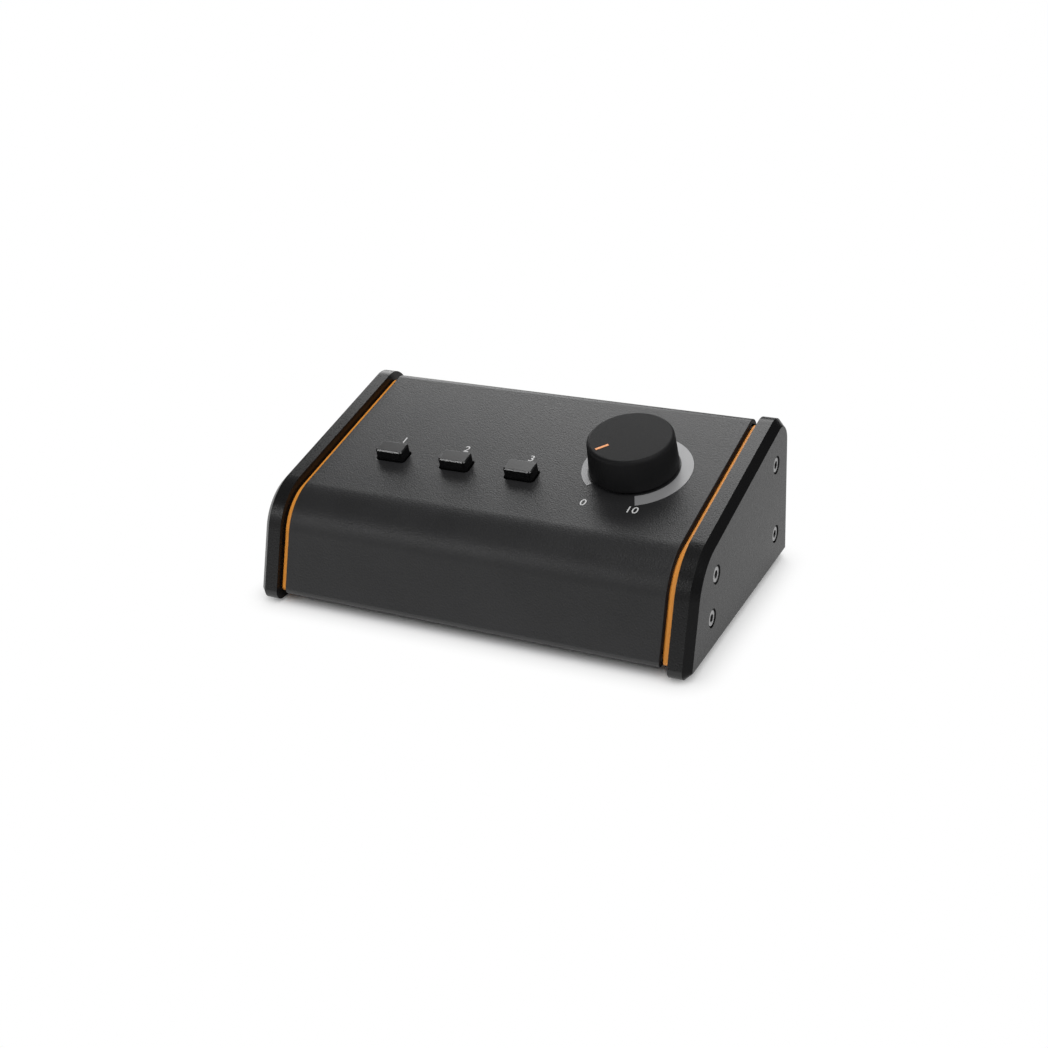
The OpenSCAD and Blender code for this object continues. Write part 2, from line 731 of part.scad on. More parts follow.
// Control board, parallel to the panel on four spacers
module control_board() {
    color("#1f5a3a") on_panel(0, 0) difference() {
        translate([-board_half, board_front_s, board_top - board_t])
            cube([2 * board_half, board_rear_s - board_front_s, board_t]);
        for (s = panel_spacer_s) for (x = [-panel_spacer_x, panel_spacer_x])
            translate([x, s, board_top - board_t - cut]) cylinder(r = screw_hole_r, h = board_t + 2 * cut);
    }
}
module panel_spacers() {
    color("#c9ccd0") for (s = panel_spacer_s) for (x = [-panel_spacer_x, panel_spacer_x])
        on_panel(x, s) translate([0, 0, board_top]) difference() {
            cylinder(r = spacer_r, h = pot_h);
            translate([0, 0, -cut]) cylinder(r = screw_r, h = board_screw_len + cut);
        }
}
module control_board_screws() {
    color("#c9ccd0") for (s = panel_spacer_s) for (x = [-panel_spacer_x, panel_spacer_x])
        on_panel(x, s) translate([0, 0, board_top - board_t]) rotate([180, 0, 0])
            pan_screw(board_screw_len);
}
module pad_resistors() {
    axis_h = board_top + lead_h + resistor_r;
    color("#c7a77c") for (i = [0:resistor_count - 1])
        on_panel(resistor_x + i * resistor_pitch, resistor_s) {
            translate([0, resistor_l / 2, axis_h]) rotate([90, 0, 0])
                cylinder(r = resistor_r, h = resistor_l);
            for (y = [-resistor_l, resistor_l] / 3) translate([0, y, board_top])
                cylinder(r = lead_r, h = lead_h + resistor_r);
        }
}

// Socket board on the base plate, with the sockets screwed through the back
module socket_board() {
    color("#1f5a3a") difference() {
        translate([-socket_board_half, socket_board_front, socket_board_z])
            cube([2 * socket_board_half, socket_board_rear - socket_board_front, board_t]);
        both_sides() for (y = [base_spacer_front_y, base_spacer_rear_y])
            translate([base_spacer_x, y, socket_board_z - cut])
                cylinder(r = screw_hole_r, h = board_t + 2 * cut);
    }
}
module base_spacers() {
    color("#c9ccd0") both_sides() for (y = [base_spacer_front_y, base_spacer_rear_y])
        translate([base_spacer_x, y, base_top])
            tube(spacer_r, screw_r, socket_board_gap);
}
module socket_board_screws() {
    color("#c9ccd0") both_sides() for (y = [base_spacer_front_y, base_spacer_rear_y])
        translate([base_spacer_x, y, socket_board_top]) pan_screw(socket_board_gap + board_t - fit_gap);
}
// socket with its body on the board and its threaded nose through the panel
module jack_body(x, w, h, len, nose_r, nose_out, bore_r, axis_z) {
    on_back(x, axis_z) difference() {
        union() {
            translate([-w / 2, -h / 2, -back_t - len]) cube([w, h, len]);
            translate([0, 0, -back_t - cut]) cylinder(r = nose_r, h = back_t + nose_out + cut);
        }
        translate([0, 0, -back_t - len - cut]) cylinder(r = bore_r, h = back_t + len + nose_out + 2 * cut);
    }
}
module large_jack(i) {
    color("#202022") jack_body(jack_x + i * jack_pitch, jack_w, jack_h, jack_l, jack_nose_r,
        jack_nose_out, jack_bore_d / 2, jack_axis_z);
}
module left_input_jack() { large_jack(3); }
module right_input_jack() { large_jack(2); }
module left_output_jack() { large_jack(1); }
module right_output_jack() { large_jack(0); }
module aux_jack() {
    color("#202022") jack_body(aux_x, aux_w, aux_h, aux_l, aux_nose_r, aux_nose_out,
        aux_bore_d / 2, aux_axis_z);
}
module jack_nuts() {
    color("#c9ccd0") {
        for (i = [0:jack_count - 1]) on_back(jack_x + i * jack_pitch, jack_axis_z) translate([0, 0, jack_washer_t])
            difference() {
                cylinder(r = jack_nut_r, h = jack_nut_h, $fn = 6);
                translate([0, 0, -cut]) cylinder(r = jack_nose_r + thread_gap, h = jack_nut_h + 2 * cut);
            }
        on_back(aux_x, aux_axis_z) translate([0, 0, jack_washer_t])
            tube(aux_nut_r, aux_nose_r + thread_gap, aux_nut_h);
    }
}
module jack_washers() {
    color("#8d9196") {
        for (i = [0:jack_count - 1]) on_back(jack_x + i * jack_pitch, jack_axis_z)
            tube(jack_washer_r, jack_nose_r + thread_gap, jack_washer_t);
        on_back(aux_x, aux_axis_z) tube(aux_washer_r, aux_nose_r + thread_gap, jack_washer_t);
    }
}

// Ribbon cable: leaves both headers forwards and turns down between them
function panel_point(s, h) = body_brow + s * dir(panel_tilt) + h * dir(panel_tilt + 90);
upper_exit = panel_point(upper_header_s - header_d / 2, board_top - board_t - header_h / 2);
lower_exit = [lower_header_y - header_d / 2, socket_board_top + header_h / 2];
ribbon_route = [
    upper_exit,
    upper_exit - ribbon_out * dir(panel_tilt),
    lower_exit - [ribbon_out, 0],
    lower_exit
];
function side_of(p, q, d) = inset_point(p, atan2(q[1] - p[1], q[0] - p[0]), d);
function heading(p, q) = atan2(q[1] - p[1], q[0] - p[0]);
function shifted(r, d) = [
    side_of(r[0], r[1], d),
    meet(side_of(r[0], r[1], d), heading(r[0], r[1]), side_of(r[1], r[2], d), heading(r[1], r[2])),
    meet(side_of(r[1], r[2], d), heading(r[1], r[2]), side_of(r[2], r[3], d), heading(r[2], r[3])),
    side_of(r[3], r[2], -d)
];
function turned(r, radius) = concat(
    [r[0]], corner_arc(r[0], r[1], r[2], radius), corner_arc(r[1], r[2], r[3], radius), [r[3]]
);
module ribbon_cable() {
    outer = turned(shifted(ribbon_route, ribbon_t / 2), ribbon_turn_r + ribbon_t / 2);
    inner = turned(shifted(ribbon_route, -ribbon_t / 2), ribbon_turn_r - ribbon_t / 2);
    back = [for (i = [len(inner) - 1:-1:0]) inner[i]];
    color("#9aa0a6") across(header_x - ribbon_w / 2, ribbon_w) polygon(concat(outer, back));
}
module ribbon_headers() {
    color("#1b1b1c") {
        on_panel(header_x, upper_header_s)
            translate([-header_w / 2, -header_d / 2, upper_header_foot])
                cube([header_w, header_d, header_h]);
        translate([header_x - header_w / 2, lower_header_y - header_d / 2, socket_board_top])
            cube([header_w, header_d, header_h]);
    }
}

top_cover();
base_plate();
socket_panel();
left_end_frame();
right_end_frame();
left_cheek();
right_cheek();
left_inlay();
right_inlay();
left_cheek_screws();
right_cheek_screws();
base_screws();
socket_panel_screws();
rubber_feet();
volume_knob();
knob_insert();
knob_pointer();
volume_scale();
pot_case();
pot_bushing();
pot_washer();
pot_nut();
pot_track();
pot_shaft();
pot_wiper();
mono_button();
dim_button();
mute_button();
mono_plunger();
dim_plunger();
mute_plunger();
mono_switch();
dim_switch();
mute_switch();
mono_spring();
dim_spring();
mute_spring();
control_board();
panel_spacers();
control_board_screws();
pad_resistors();
socket_board();
base_spacers();
socket_board_screws();
ribbon_cable();
ribbon_headers();
left_input_jack();
right_input_jack();
left_output_jack();
right_output_jack();
aux_jack();
jack_nuts();
jack_washers();
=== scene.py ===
import math
import bmesh
import bpy
from mathutils import Matrix, Quaternion, Vector


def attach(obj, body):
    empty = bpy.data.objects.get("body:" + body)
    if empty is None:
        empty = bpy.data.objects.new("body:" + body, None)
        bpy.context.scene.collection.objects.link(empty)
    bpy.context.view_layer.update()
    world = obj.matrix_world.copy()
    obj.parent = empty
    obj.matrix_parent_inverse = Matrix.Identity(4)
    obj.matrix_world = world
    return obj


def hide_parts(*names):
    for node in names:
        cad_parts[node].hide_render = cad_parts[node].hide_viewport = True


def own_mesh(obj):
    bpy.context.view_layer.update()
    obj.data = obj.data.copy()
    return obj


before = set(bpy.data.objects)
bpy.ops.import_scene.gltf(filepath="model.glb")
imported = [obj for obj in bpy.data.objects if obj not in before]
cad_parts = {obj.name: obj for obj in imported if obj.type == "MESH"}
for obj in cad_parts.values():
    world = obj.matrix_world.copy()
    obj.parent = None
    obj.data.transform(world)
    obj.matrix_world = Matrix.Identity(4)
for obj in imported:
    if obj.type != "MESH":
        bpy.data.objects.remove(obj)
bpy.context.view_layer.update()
mm = 0.001
weld = 0.0005                # mm: points nearer than this are one
over = 1.0                   # mm that a cutter stands past what it cuts
cutReach = (-3, 2)           # mm: cutters go from below a sheet to above it


def newObject(name, data):
    obj = bpy.data.objects.new(name, data)
    bpy.context.scene.collection.objects.link(obj)
    return obj


# the camera was fitted to the photograph
cameraPlan = {
    "lens": 53.4,
    "sensor": 36.0,
    "yaw": 27.81,            # degrees to the right of the front
    "pitch": 25.738,         # degrees above the floor
    "roll": -3.531,
    "distance": 506.64,      # mm, from the aim point
    "aim": (0.0, 3.85, 28.4),
    "aimRight": -0.937,      # small framing moves in the picture plane
    "aimUp": -9.597,
    "clip": (0.01, 50),      # metres
}


def makeCamera(plan):
    yaw, pitch, roll = (math.radians(plan[key]) for key in ("yaw", "pitch", "roll"))
    back = Vector((math.sin(yaw) * math.cos(pitch), -math.cos(yaw) * math.cos(pitch),
                   math.sin(pitch)))
    level = Vector((math.cos(yaw), math.sin(yaw), 0))
    lift = back.cross(level)
    right = level * math.cos(roll) + lift * math.sin(roll)
    up = lift * math.cos(roll) - level * math.sin(roll)
    aim = Vector(plan["aim"]) + right * plan["aimRight"] + up * plan["aimUp"]
    place = (aim + back * plan["distance"]) * mm
    data = bpy.data.cameras.new("camera")
    data.lens = plan["lens"]
    data.sensor_width = plan["sensor"]
    data.clip_start, data.clip_end = plan["clip"]
    camera = newObject("camera", data)
    camera.matrix_world = Matrix((
        (right.x, up.x, back.x, place.x),
        (right.y, up.y, back.y, place.y),
        (right.z, up.z, back.z, place.z),
        (0, 0, 0, 1)))
    bpy.context.scene.camera = camera


makeCamera(cameraPlan)
print("camera done")

# the case in mm, the same corners as the solids have: x to the right, y to the rear, z up
case = {
    "width": 150.0,
    "depth": 91.5,
    "browHeight": 33.7,      # where the front and the panel would meet, above the stand
    "panelTilt": math.radians(13),
    "frontLean": math.radians(18),
    "stand": 1.0,            # the cheeks' lower edge above the floor
    "cheekThick": 7.0,
    "chamfer": 2.4,
    "bendRadius": 20.0,
    "toeRadius": 3.0,
    "heelRadius": 9.0,
    "sheet": 1.5,
    "coverInset": 1.3,       # cover inside the cheek's outline
    "frontProud": 0.6,       # the cover's front face lies this much nearer to the outline
    "coverLift": 2.6,
    "rearInset": 3.6,
    "rearBend": 5.0,
    "foldRadius": 1.8,
    "lipDrop": 8.0,
    "flangeDepth": 11.0,
    "inlayThick": 2.8,
    "inlayRecess": 1.6,      # inlay inside the cover's outline
    "inlayLift": 2.9,
    "backThick": 2.0,
    "baseThick": 1.5,
    "frameThick": 6.0,
    "gap": 0.1,
    "arcStep": math.radians(3),
}
toeReach = case["toeRadius"] * ((1 + math.sin(case["frontLean"])) / math.cos(case["frontLean"]) - 1)
cheekRear = case["depth"] / 2
footCorner = Vector((-cheekRear - toeReach, case["stand"]))
browCorner = footCorner + Vector((case["browHeight"] * math.tan(case["frontLean"]),
                                  case["browHeight"]))
cheekInner = case["width"] / 2 - case["cheekThick"]
bodyHalf = cheekInner - case["inlayThick"]
bodyRear = cheekRear - case["rearInset"]
bodyFoot = case["stand"] + case["coverLift"]
baseBottom = bodyFoot + case["sheet"]
baseTop = baseBottom + case["baseThick"]
socketFace = bodyRear - case["sheet"]


def heading(angle):
    return Vector((math.cos(angle), math.sin(angle)))


def insetPoint(point, angle, distance):
    return point + distance * Vector((math.sin(angle), -math.cos(angle)))


# where the line through p at angle a meets the line through q at angle b
def meetPoint(p, a, q, b):
    u, v, w = heading(a), heading(b), q - p
    return p + u * ((w.x * v.y - w.y * v.x) / (u.x * v.y - u.y * v.x))


def cornerArc(before, corner, after, radius):
    if radius <= 0:
        return [corner.copy()]
    u, v = (before - corner).normalized(), (after - corner).normalized()
    half = math.acos(u.dot(v)) / 2
    centre = corner + (u + v).normalized() * radius / math.sin(half)
    start = corner + u * radius / math.tan(half) - centre
    end = corner + v * radius / math.tan(half) - centre
    turn = math.atan2(start.x * end.y - start.y * end.x, start.dot(end))
    steps = max(3, math.ceil(abs(turn) / case["arcStep"]))
    first = math.atan2(start.y, start.x)
    return [centre + radius * heading(first + turn * i / steps) for i in range(steps + 1)]


def roundedOutline(points, radii):
    outline = []
    for i, radius in enumerate(radii):
        outline += cornerArc(points[i - 1], points[i], points[(i + 1) % len(points)], radius)
    return outline


def roundedBox(width, depth, radius):
    corners = [Vector((x * width / 2, y * depth / 2))
               for x, y in ((-1, -1), (1, -1), (1, 1), (-1, 1))]
    return roundedOutline(corners, [radius] * 4)


# front foot, front top, rear top and rear foot of a side view inside the cheek's outline
def sideCorners(inset, rear, foot, proud=case["frontProud"]):
    lean, tilt = math.pi / 2 - case["frontLean"], case["panelTilt"]
    front = insetPoint(footCorner, lean, inset - proud)
    slope = insetPoint(browCorner, tilt, inset)
    return [
        meetPoint(front, lean, Vector((0, foot)), 0),
        meetPoint(front, lean, slope, tilt),
        meetPoint(slope, tilt, Vector((rear, 0)), math.pi / 2),
        Vector((rear, foot)),
    ]


def sideOutline(inset, rear, foot, toe, heel, tail=0.0, proud=case["frontProud"]):
    radii = [toe, case["bendRadius"] - inset, heel, tail]
    return roundedOutline(sideCorners(inset, rear, foot, proud), radii)


bodyBrow = sideCorners(case["coverInset"], bodyRear, bodyFoot, 0)[1]
flangeEnd = sideCorners(case["coverInset"], bodyRear, bodyFoot)[0].x + case["flangeDepth"]
lining = case["coverInset"] + case["sheet"]
liningCorners = sideCorners(lining, socketFace, baseTop)
rearAngle = math.pi / 2 - case["panelTilt"]          # inside the rear bend
rearFold = (case["rearBend"] - case["sheet"]) / math.tan(rearAngle / 2)
socketPanelTop = liningCorners[2].y - rearFold - case["gap"]
socketBack = socketFace - case["backThick"]
frameMid = bodyHalf - case["frameThick"] / 2


# a place on the sloping panel: x across, s up the slope from the front
def onPanel(x, s):
    return (Matrix.Translation((x, bodyBrow.x, bodyBrow.y))
            @ Matrix.Rotation(case["panelTilt"], 4, "X") @ Matrix.Translation((0, s, 0)))


# a place on the back's outer face, facing the rear
def onBack(x, z):
    return Matrix.Translation((x, socketFace, z)) @ Matrix.Rotation(-math.pi / 2, 4, "X")


# a place on the right or left side, facing outwards
def onSide(side, x, point):
    return (Matrix.Translation((side * x, point.x, point.y))
            @ Matrix.Rotation(side * math.pi / 2, 4, "Y"))


# meshes that every piece starts from, in mm
def pushOut(bm, faces, step):
    grown = bmesh.ops.extrude_face_region(bm, geom=faces)["geom"]
    bmesh.ops.translate(bm, vec=step, verts=[v for v in grown if isinstance(v, bmesh.types.BMVert)])
    return [f for f in grown if isinstance(f, bmesh.types.BMFace)]


def prismMesh(points, step):
    bm = bmesh.new()
    pushOut(bm, [bm.faces.new([bm.verts.new(p) for p in points])], step)
    bmesh.ops.recalc_face_normals(bm, faces=bm.faces)
    return bm


def plateMesh(outline, x, width):
    return prismMesh([(x, p.x, p.y) for p in outline], (width, 0, 0))


def boxMesh(low, high):
    bm = bmesh.new()
    bmesh.ops.create_cube(bm, size=1)
    low, high = Vector(low), Vector(high)
    bmesh.ops.scale(bm, vec=high - low, verts=bm.verts)
    bmesh.ops.translate(bm, vec=(low + high) / 2, verts=bm.verts)
    return bm


# the profile runs from the axis to the axis, or round a ring's section when closed
def turnedMesh(profile, steps=80, closed=False):
    bm = bmesh.new()
    verts = [bm.verts.new((r, 0, z)) for r, z in profile]
    pairs = list(zip(verts, verts[1:])) + ([(verts[-1], verts[0])] if closed else [])
    edges = [bm.edges.new(pair) for pair in pairs]
    bmesh.ops.spin(bm, geom=verts + edges, axis=(0, 0, 1), cent=(0, 0, 0), angle=math.tau,
                   steps=steps, use_merge=True, use_duplicate=False)
    bmesh.ops.remove_doubles(bm, verts=bm.verts, dist=weld)
    bmesh.ops.recalc_face_normals(bm, faces=bm.faces)
    return bm


def barMesh(radius, low, high, sides=48):
    bm = bmesh.new()
    bmesh.ops.create_cone(bm, cap_ends=True, segments=sides, radius1=radius, radius2=radius,
                          depth=high - low)
    bmesh.ops.translate(bm, vec=(0, 0, (low + high) / 2), verts=bm.verts)
    return bm


def hexMesh(cornerRadius, low, high):
    bm = barMesh(cornerRadius, low, high, 6)
    bmesh.ops.rotate(bm, cent=(0, 0, 0), matrix=Matrix.Rotation(math.pi / 2, 3, "Z"),
                     verts=bm.verts)
    return bm


# skins outlines of as many points each, every one at its own x
def steppedMesh(sections):
    bm = bmesh.new()
    rings = [[bm.verts.new((x, p.x, p.y)) for p in outline] for x, outline in sections]
    for a, b in zip(rings, rings[1:]):
        for i in range(len(a)):
            bm.faces.new((a[i - 1], a[i], b[i], b[i - 1]))
    bm.faces.new(rings[0])
    bm.faces.new(rings[-1])
    bmesh.ops.recalc_face_normals(bm, faces=bm.faces)
    return bm


def moveToSide(bm, side):
    bmesh.ops.transform(bm, matrix=Matrix.Scale(side, 4, (1, 0, 0)), verts=bm.verts)
    if side < 0:
        bmesh.ops.reverse_faces(bm, faces=bm.faces)


# what every piece goes through: its place, cuts, soft edges and finish
def objectFrom(bm, name, place=None):
    if place is not None:
        bmesh.ops.transform(bm, matrix=place, verts=bm.verts)
    bmesh.ops.scale(bm, vec=(mm, mm, mm), verts=bm.verts)
    mesh = bpy.data.meshes.new(name)
    bm.to_mesh(mesh)
    bm.free()
    return newObject(name, mesh)


def gathered(objects, name):
    whole = bmesh.new()
    for obj in objects:
        whole.from_mesh(obj.data)
        bpy.data.objects.remove(obj)
    bmesh.ops.scale(whole, vec=(1 / mm, 1 / mm, 1 / mm), verts=whole.verts)
    return objectFrom(whole, name)


def meshNow(obj):
    return bpy.data.meshes.new_from_object(
        obj.evaluated_get(bpy.context.evaluated_depsgraph_get()))


def carve(obj, cutters, operation="DIFFERENCE"):
    for cutter in cutters:
        modifier = obj.modifiers.new("carve", "BOOLEAN")
        modifier.operation = operation
        modifier.solver = "EXACT"
        modifier.object = cutter
    carved = meshNow(obj)
    obj.modifiers.clear()
    obj.data = carved
    for cutter in cutters:
        bpy.data.objects.remove(cutter)
    return obj


# soft: width in mm, steps, and the least angle in degrees that counts as an edge
def soften(obj, soft):
    width, steps, angle = soft
    obj.data.set_sharp_from_angle(angle=math.radians(angle))
    bevel = obj.modifiers.new("softEdge", "BEVEL")
    bevel.width = width * mm
    bevel.segments = steps
    bevel.limit_method = "ANGLE"
    bevel.angle_limit = math.radians(angle)
    bevel.harden_normals = True
    even = obj.modifiers.new("flatFaces", "WEIGHTED_NORMAL")
    even.weight = 100
    even.keep_sharp = True
    return obj


def dress(obj, material, body, slotName, *nodes):
    obj.data.materials.clear()
    obj.data.materials.append(material)
    for polygon in obj.data.polygons:
        polygon.use_smooth = True
        polygon.material_index = 0
    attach(obj, body)
    if nodes:
        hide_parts(*nodes)
    return obj


# materials: noise on Object coordinates varies the colour, the gloss and the grain
def newMaterial(name):
    material = bpy.data.materials.new(name)
    material.use_nodes = True
    nodes = material.node_tree.nodes
    return material, nodes, material.node_tree.links, nodes["Principled BSDF"]


def addNoise(nodes, links, scale, detail=2.0, stretch=None):
    coords = nodes.new("ShaderNodeTexCoord")
    mapping = nodes.new("ShaderNodeMapping")
    if stretch:
        mapping.inputs["Scale"].default_value = stretch
    noise = nodes.new("ShaderNodeTexNoise")
    noise.inputs["Scale"].default_value = scale
    noise.inputs["Detail"].default_value = detail
    links.new(coords.outputs["Object"], mapping.inputs["Vector"])
    links.new(mapping.outputs["Vector"], noise.inputs["Vector"])
    return noise


def addRamp(nodes, links, source, low, high, start=0.35, end=0.65):
    ramp = nodes.new("ShaderNodeValToRGB")
    for element, position, colour in zip(ramp.color_ramp.elements, (start, end), (low, high)):
        element.position = position
        element.color = (*colour, 1)
    links.new(source, ramp.inputs["Fac"])
    return ramp


def addRange(nodes, links, source, low, high, start=0.3, end=0.7):
    spread = nodes.new("ShaderNodeMapRange")
    spread.inputs["From Min"].default_value = start
    spread.inputs["From Max"].default_value = end
    spread.inputs["To Min"].default_value = low
    spread.inputs["To Max"].default_value = high
    links.new(source, spread.inputs["Value"])
    return spread


# a source is an output of another node or a plain value
def addMath(nodes, links, kind, operation, *sources):
    node = nodes.new(kind)
    node.operation = operation
    for i, source in enumerate(sources):
        if isinstance(source, bpy.types.NodeSocket):
            links.new(source, node.inputs[i])
        else:
            node.inputs[i].default_value = source
    return node


def addBump(nodes, links, source, shader, strength, distance):
    bump = nodes.new("ShaderNodeBump")
    bump.inputs["Strength"].default_value = strength
    bump.inputs["Distance"].default_value = distance
    links.new(source, bump.inputs["Height"])
    links.new(bump.outputs["Normal"], shader.inputs["Normal"])


# vary: how far the colour goes up and down; depth: of the grain, in metres
def finishMaterial(name, colour, vary=0.12, roughness=(0.4, 0.5), metallic=0.0, grain=2500.0,
                   bump=0.15, depth=0.00003, cloud=60.0, stretch=None, specular=0.5):
    material, nodes, links, shader = newMaterial(name)
    broad = addNoise(nodes, links, cloud, 3.0)
    fine = addNoise(nodes, links, grain, 2.0, stretch)
    low = tuple(c * (1 - vary) for c in colour)
    high = tuple(min(1.0, c * (1 + vary)) for c in colour)
    ramp = addRamp(nodes, links, broad.outputs["Fac"], low, high)
    links.new(ramp.outputs["Color"], shader.inputs["Base Color"])
    gloss = addRange(nodes, links, fine.outputs["Fac"], *roughness)
    links.new(gloss.outputs["Result"], shader.inputs["Roughness"])
    shader.inputs["Metallic"].default_value = metallic
    shader.inputs["Specular IOR Level"].default_value = specular
    addBump(nodes, links, fine.outputs["Fac"], shader, bump, depth)
    return material


# levels: of faces that look across the axis, then of faces that look along it
# facing: the cosines between which the one turns into the other
def setByFacing(material, axis, socket, levels, facing):
    nodes, links = material.node_tree.nodes, material.node_tree.links
    coords = nodes.new("ShaderNodeTexCoord")
    along = addMath(nodes, links, "ShaderNodeVectorMath", "DOT_PRODUCT", coords.outputs["Normal"],
                    axis)
    either = addMath(nodes, links, "ShaderNodeMath", "ABSOLUTE", along.outputs["Value"])
    level = addRange(nodes, links, either.outputs["Value"], *levels, *facing)
    links.new(level.outputs["Result"], nodes["Principled BSDF"].inputs[socket])


# each: its name, colour, how far the colour varies, roughness, then metallic
finishes = {
    "cover": finishMaterial("coverCoat", (0.019, 0.019, 0.0198), 0.08, (0.32, 0.42),
                            grain=1900, bump=1.0, depth=0.00008),
    "cheek": finishMaterial("cheekCoat", (0.006, 0.006, 0.0063), 0.06, (0.26, 0.33),
                            grain=1900, bump=1.0, depth=0.00005),
    "inlay": finishMaterial("inlayOrange", (0.95, 0.36, 0.045), 0.04, (0.36, 0.46), bump=0.05),
    "darkSteel": finishMaterial("darkSteel", (0.022, 0.022, 0.024), 0.08, (0.45, 0.55), bump=0.2),
    "frameMetal": finishMaterial("frameAnodised", (0.03, 0.03, 0.032), 0.05, (0.45, 0.55), 0.5,
                                 grain=900, stretch=(1, 0.06, 1)),
    "screw": finishMaterial("screwSteel", (0.48, 0.48, 0.47), 0.1, (0.24, 0.36), 1.0, bump=0.08),
    "cheekScrew": finishMaterial("cheekScrewSteel", (0.27, 0.27, 0.272), 0.1, (0.26, 0.36), 1.0,
                                 bump=0.08),
    "blackScrew": finishMaterial("blackScrew", (0.03, 0.03, 0.032), 0.1, (0.3, 0.42), 0.6),
    "rubber": finishMaterial("footRubber", (0.018, 0.018, 0.018), 0.1, (0.75, 0.9), bump=0.3),
    "knob": finishMaterial("knobSoftTouch", (0.007, 0.007, 0.0075), 0.06, (0.48, 0.56),
                           bump=0.12, specular=0.18),
    "brass": finishMaterial("turnedBrass", (0.72, 0.50, 0.20), 0.08, (0.24, 0.34), 1.0),
    "pointer": finishMaterial("pointerOrange", (0.90, 0.36, 0.13), 0.03, (0.4, 0.5), bump=0.02),
    "ink": finishMaterial("scaleInk", (0.33, 0.33, 0.335), 0.03, (0.36, 0.44), 0.35, bump=0.05),
    "labelInk": finishMaterial("labelInk", (0.62, 0.62, 0.62), 0.02, (0.5, 0.6), bump=0.03),
    "washer": finishMaterial("washerSteel", (0.40, 0.40, 0.41), 0.08, (0.3, 0.42), 1.0, bump=0.1),
    "button": finishMaterial("buttonPlastic", (0.003, 0.003, 0.0033), 0.03, (0.22, 0.24),
                             bump=0.0),
    "switch": finishMaterial("switchBlue", (0.04, 0.05, 0.24), 0.05, (0.35, 0.45)),
    "plunger": finishMaterial("plungerIvory", (0.70, 0.67, 0.60), 0.04, (0.4, 0.5)),
    "spring": finishMaterial("springWire", (0.55, 0.55, 0.56), 0.06, (0.25, 0.35), 1.0),
    "board": finishMaterial("boardGreen", (0.02, 0.13, 0.06), 0.25, (0.25, 0.35), cloud=350),
    "track": finishMaterial("trackBrown", (0.16, 0.07, 0.03), 0.1, (0.5, 0.6)),
    "resistor": finishMaterial("resistorLacquer", (0.55, 0.38, 0.20), 0.08, (0.3, 0.4)),
    "socket": finishMaterial("socketBlack", (0.016, 0.016, 0.017), 0.05, (0.25, 0.35), bump=0.05),
    "ribbon": finishMaterial("ribbonGrey", (0.34, 0.35, 0.37), 0.08, (0.5, 0.6), grain=1500,
                             stretch=(6, 0.1, 0.1)),
}
# painted shade: faces that look sideways shine less, on the cheeks and at the cover's cut edges, so
# the cheeks' sides and the groove flanks render darker
paintedSideShade = {"cheek": (0.50, 0.12), "cover": (0.50, 0.02), "facing": (0.3, 0.6)}
for coat in ("cheek", "cover"):
    setByFacing(finishes[coat], (1, 0, 0), "Specular IOR Level", paintedSideShade[coat], paintedSideShade["facing"])
print("materials done")

# solids that keep their shape and only get a finish
cadFinishes = {
    "frameMetal": ("left_end_frame", "right_end_frame"),
    "brass": ("knob_insert", "pot_bushing", "pot_wiper"),
    "screw": ("pot_case", "pot_washer", "pot_nut", "pot_shaft", "panel_spacers",
              "control_board_screws", "base_spacers", "socket_board_screws"),
    "track": ("pot_track",),
    "plunger": ("mono_plunger", "dim_plunger", "mute_plunger"),
    "switch": ("mono_switch", "dim_switch", "mute_switch"),
    "board": ("control_board", "socket_board"),
    "resistor": ("pad_resistors",),
    "ribbon": ("ribbon_cable",),
    "socket": ("ribbon_headers",),
}
for finish, nodeNames in cadFinishes.items():
    for nodeName in nodeNames:
        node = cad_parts[nodeName]
        if not node.material_slots:
            node.data.materials.append(finishes[finish])
        for materialSlot in node.material_slots:
            materialSlot.material = finishes[finish]
print("solids dressed")

# side cheeks, with a sink for each screw
cheekPlan = {
    "sinkRadius": 3.0,
    "sinkDepth": 1.9,
    "sinkWall": 0.5,                 # straight part above the cone
    "holeRadius": 1.7,
    "sinkSteps": 64,
    "frontScrews": ((20.3, 12.1), (24.1, 24.8)),     # from the front foot corner
    "rearScrewIn": 13.2,
    "rearScrewHeights": (12.3, 36.7),
    "soft": (0.3, 3, 30),
}
screwPlaces = [footCorner + Vector(p) for p in cheekPlan["frontScrews"]]
screwPlaces += [Vector((cheekRear - cheekPlan["rearScrewIn"], case["stand"] + height))
                for height in cheekPlan["rearScrewHeights"]]


def makeCheek(side, name, node):
    plan = cheekPlan
    outline = sideOutline(0, cheekRear, case["stand"], case["toeRadius"], case["heelRadius"],
                          proud=0)
    bm = plateMesh(outline, cheekInner, case["cheekThick"])
    outerX = cheekInner + case["cheekThick"]
    rim = [e for e in bm.edges if all(abs(v.co.x - outerX) < weld for v in e.verts)]
    bmesh.ops.bevel(bm, geom=rim, offset=case["chamfer"], offset_type="OFFSET", segments=1,
                    profile=0.5, affect="EDGES", material=-1, clamp_overlap=False)
    moveToSide(bm, side)
    obj = objectFrom(bm, name)
    hole, sink, face = plan["holeRadius"], plan["sinkRadius"], case["cheekThick"]
    profile = [(0, -over), (hole, -over), (hole, face - plan["sinkDepth"]),
               (sink, face - plan["sinkWall"]), (sink, face + over), (0, face + over)]
    carve(obj, [objectFrom(turnedMesh(profile, plan["sinkSteps"]), "cutter",
                           onSide(side, cheekInner, point)) for point in screwPlaces])
    soften(obj, plan["soft"])
    return dress(obj, finishes["cheek"], "housing", "cheek_coat", node)


makeCheek(1, "rightCheek", "right_cheek")
makeCheek(-1, "leftCheek", "left_cheek")

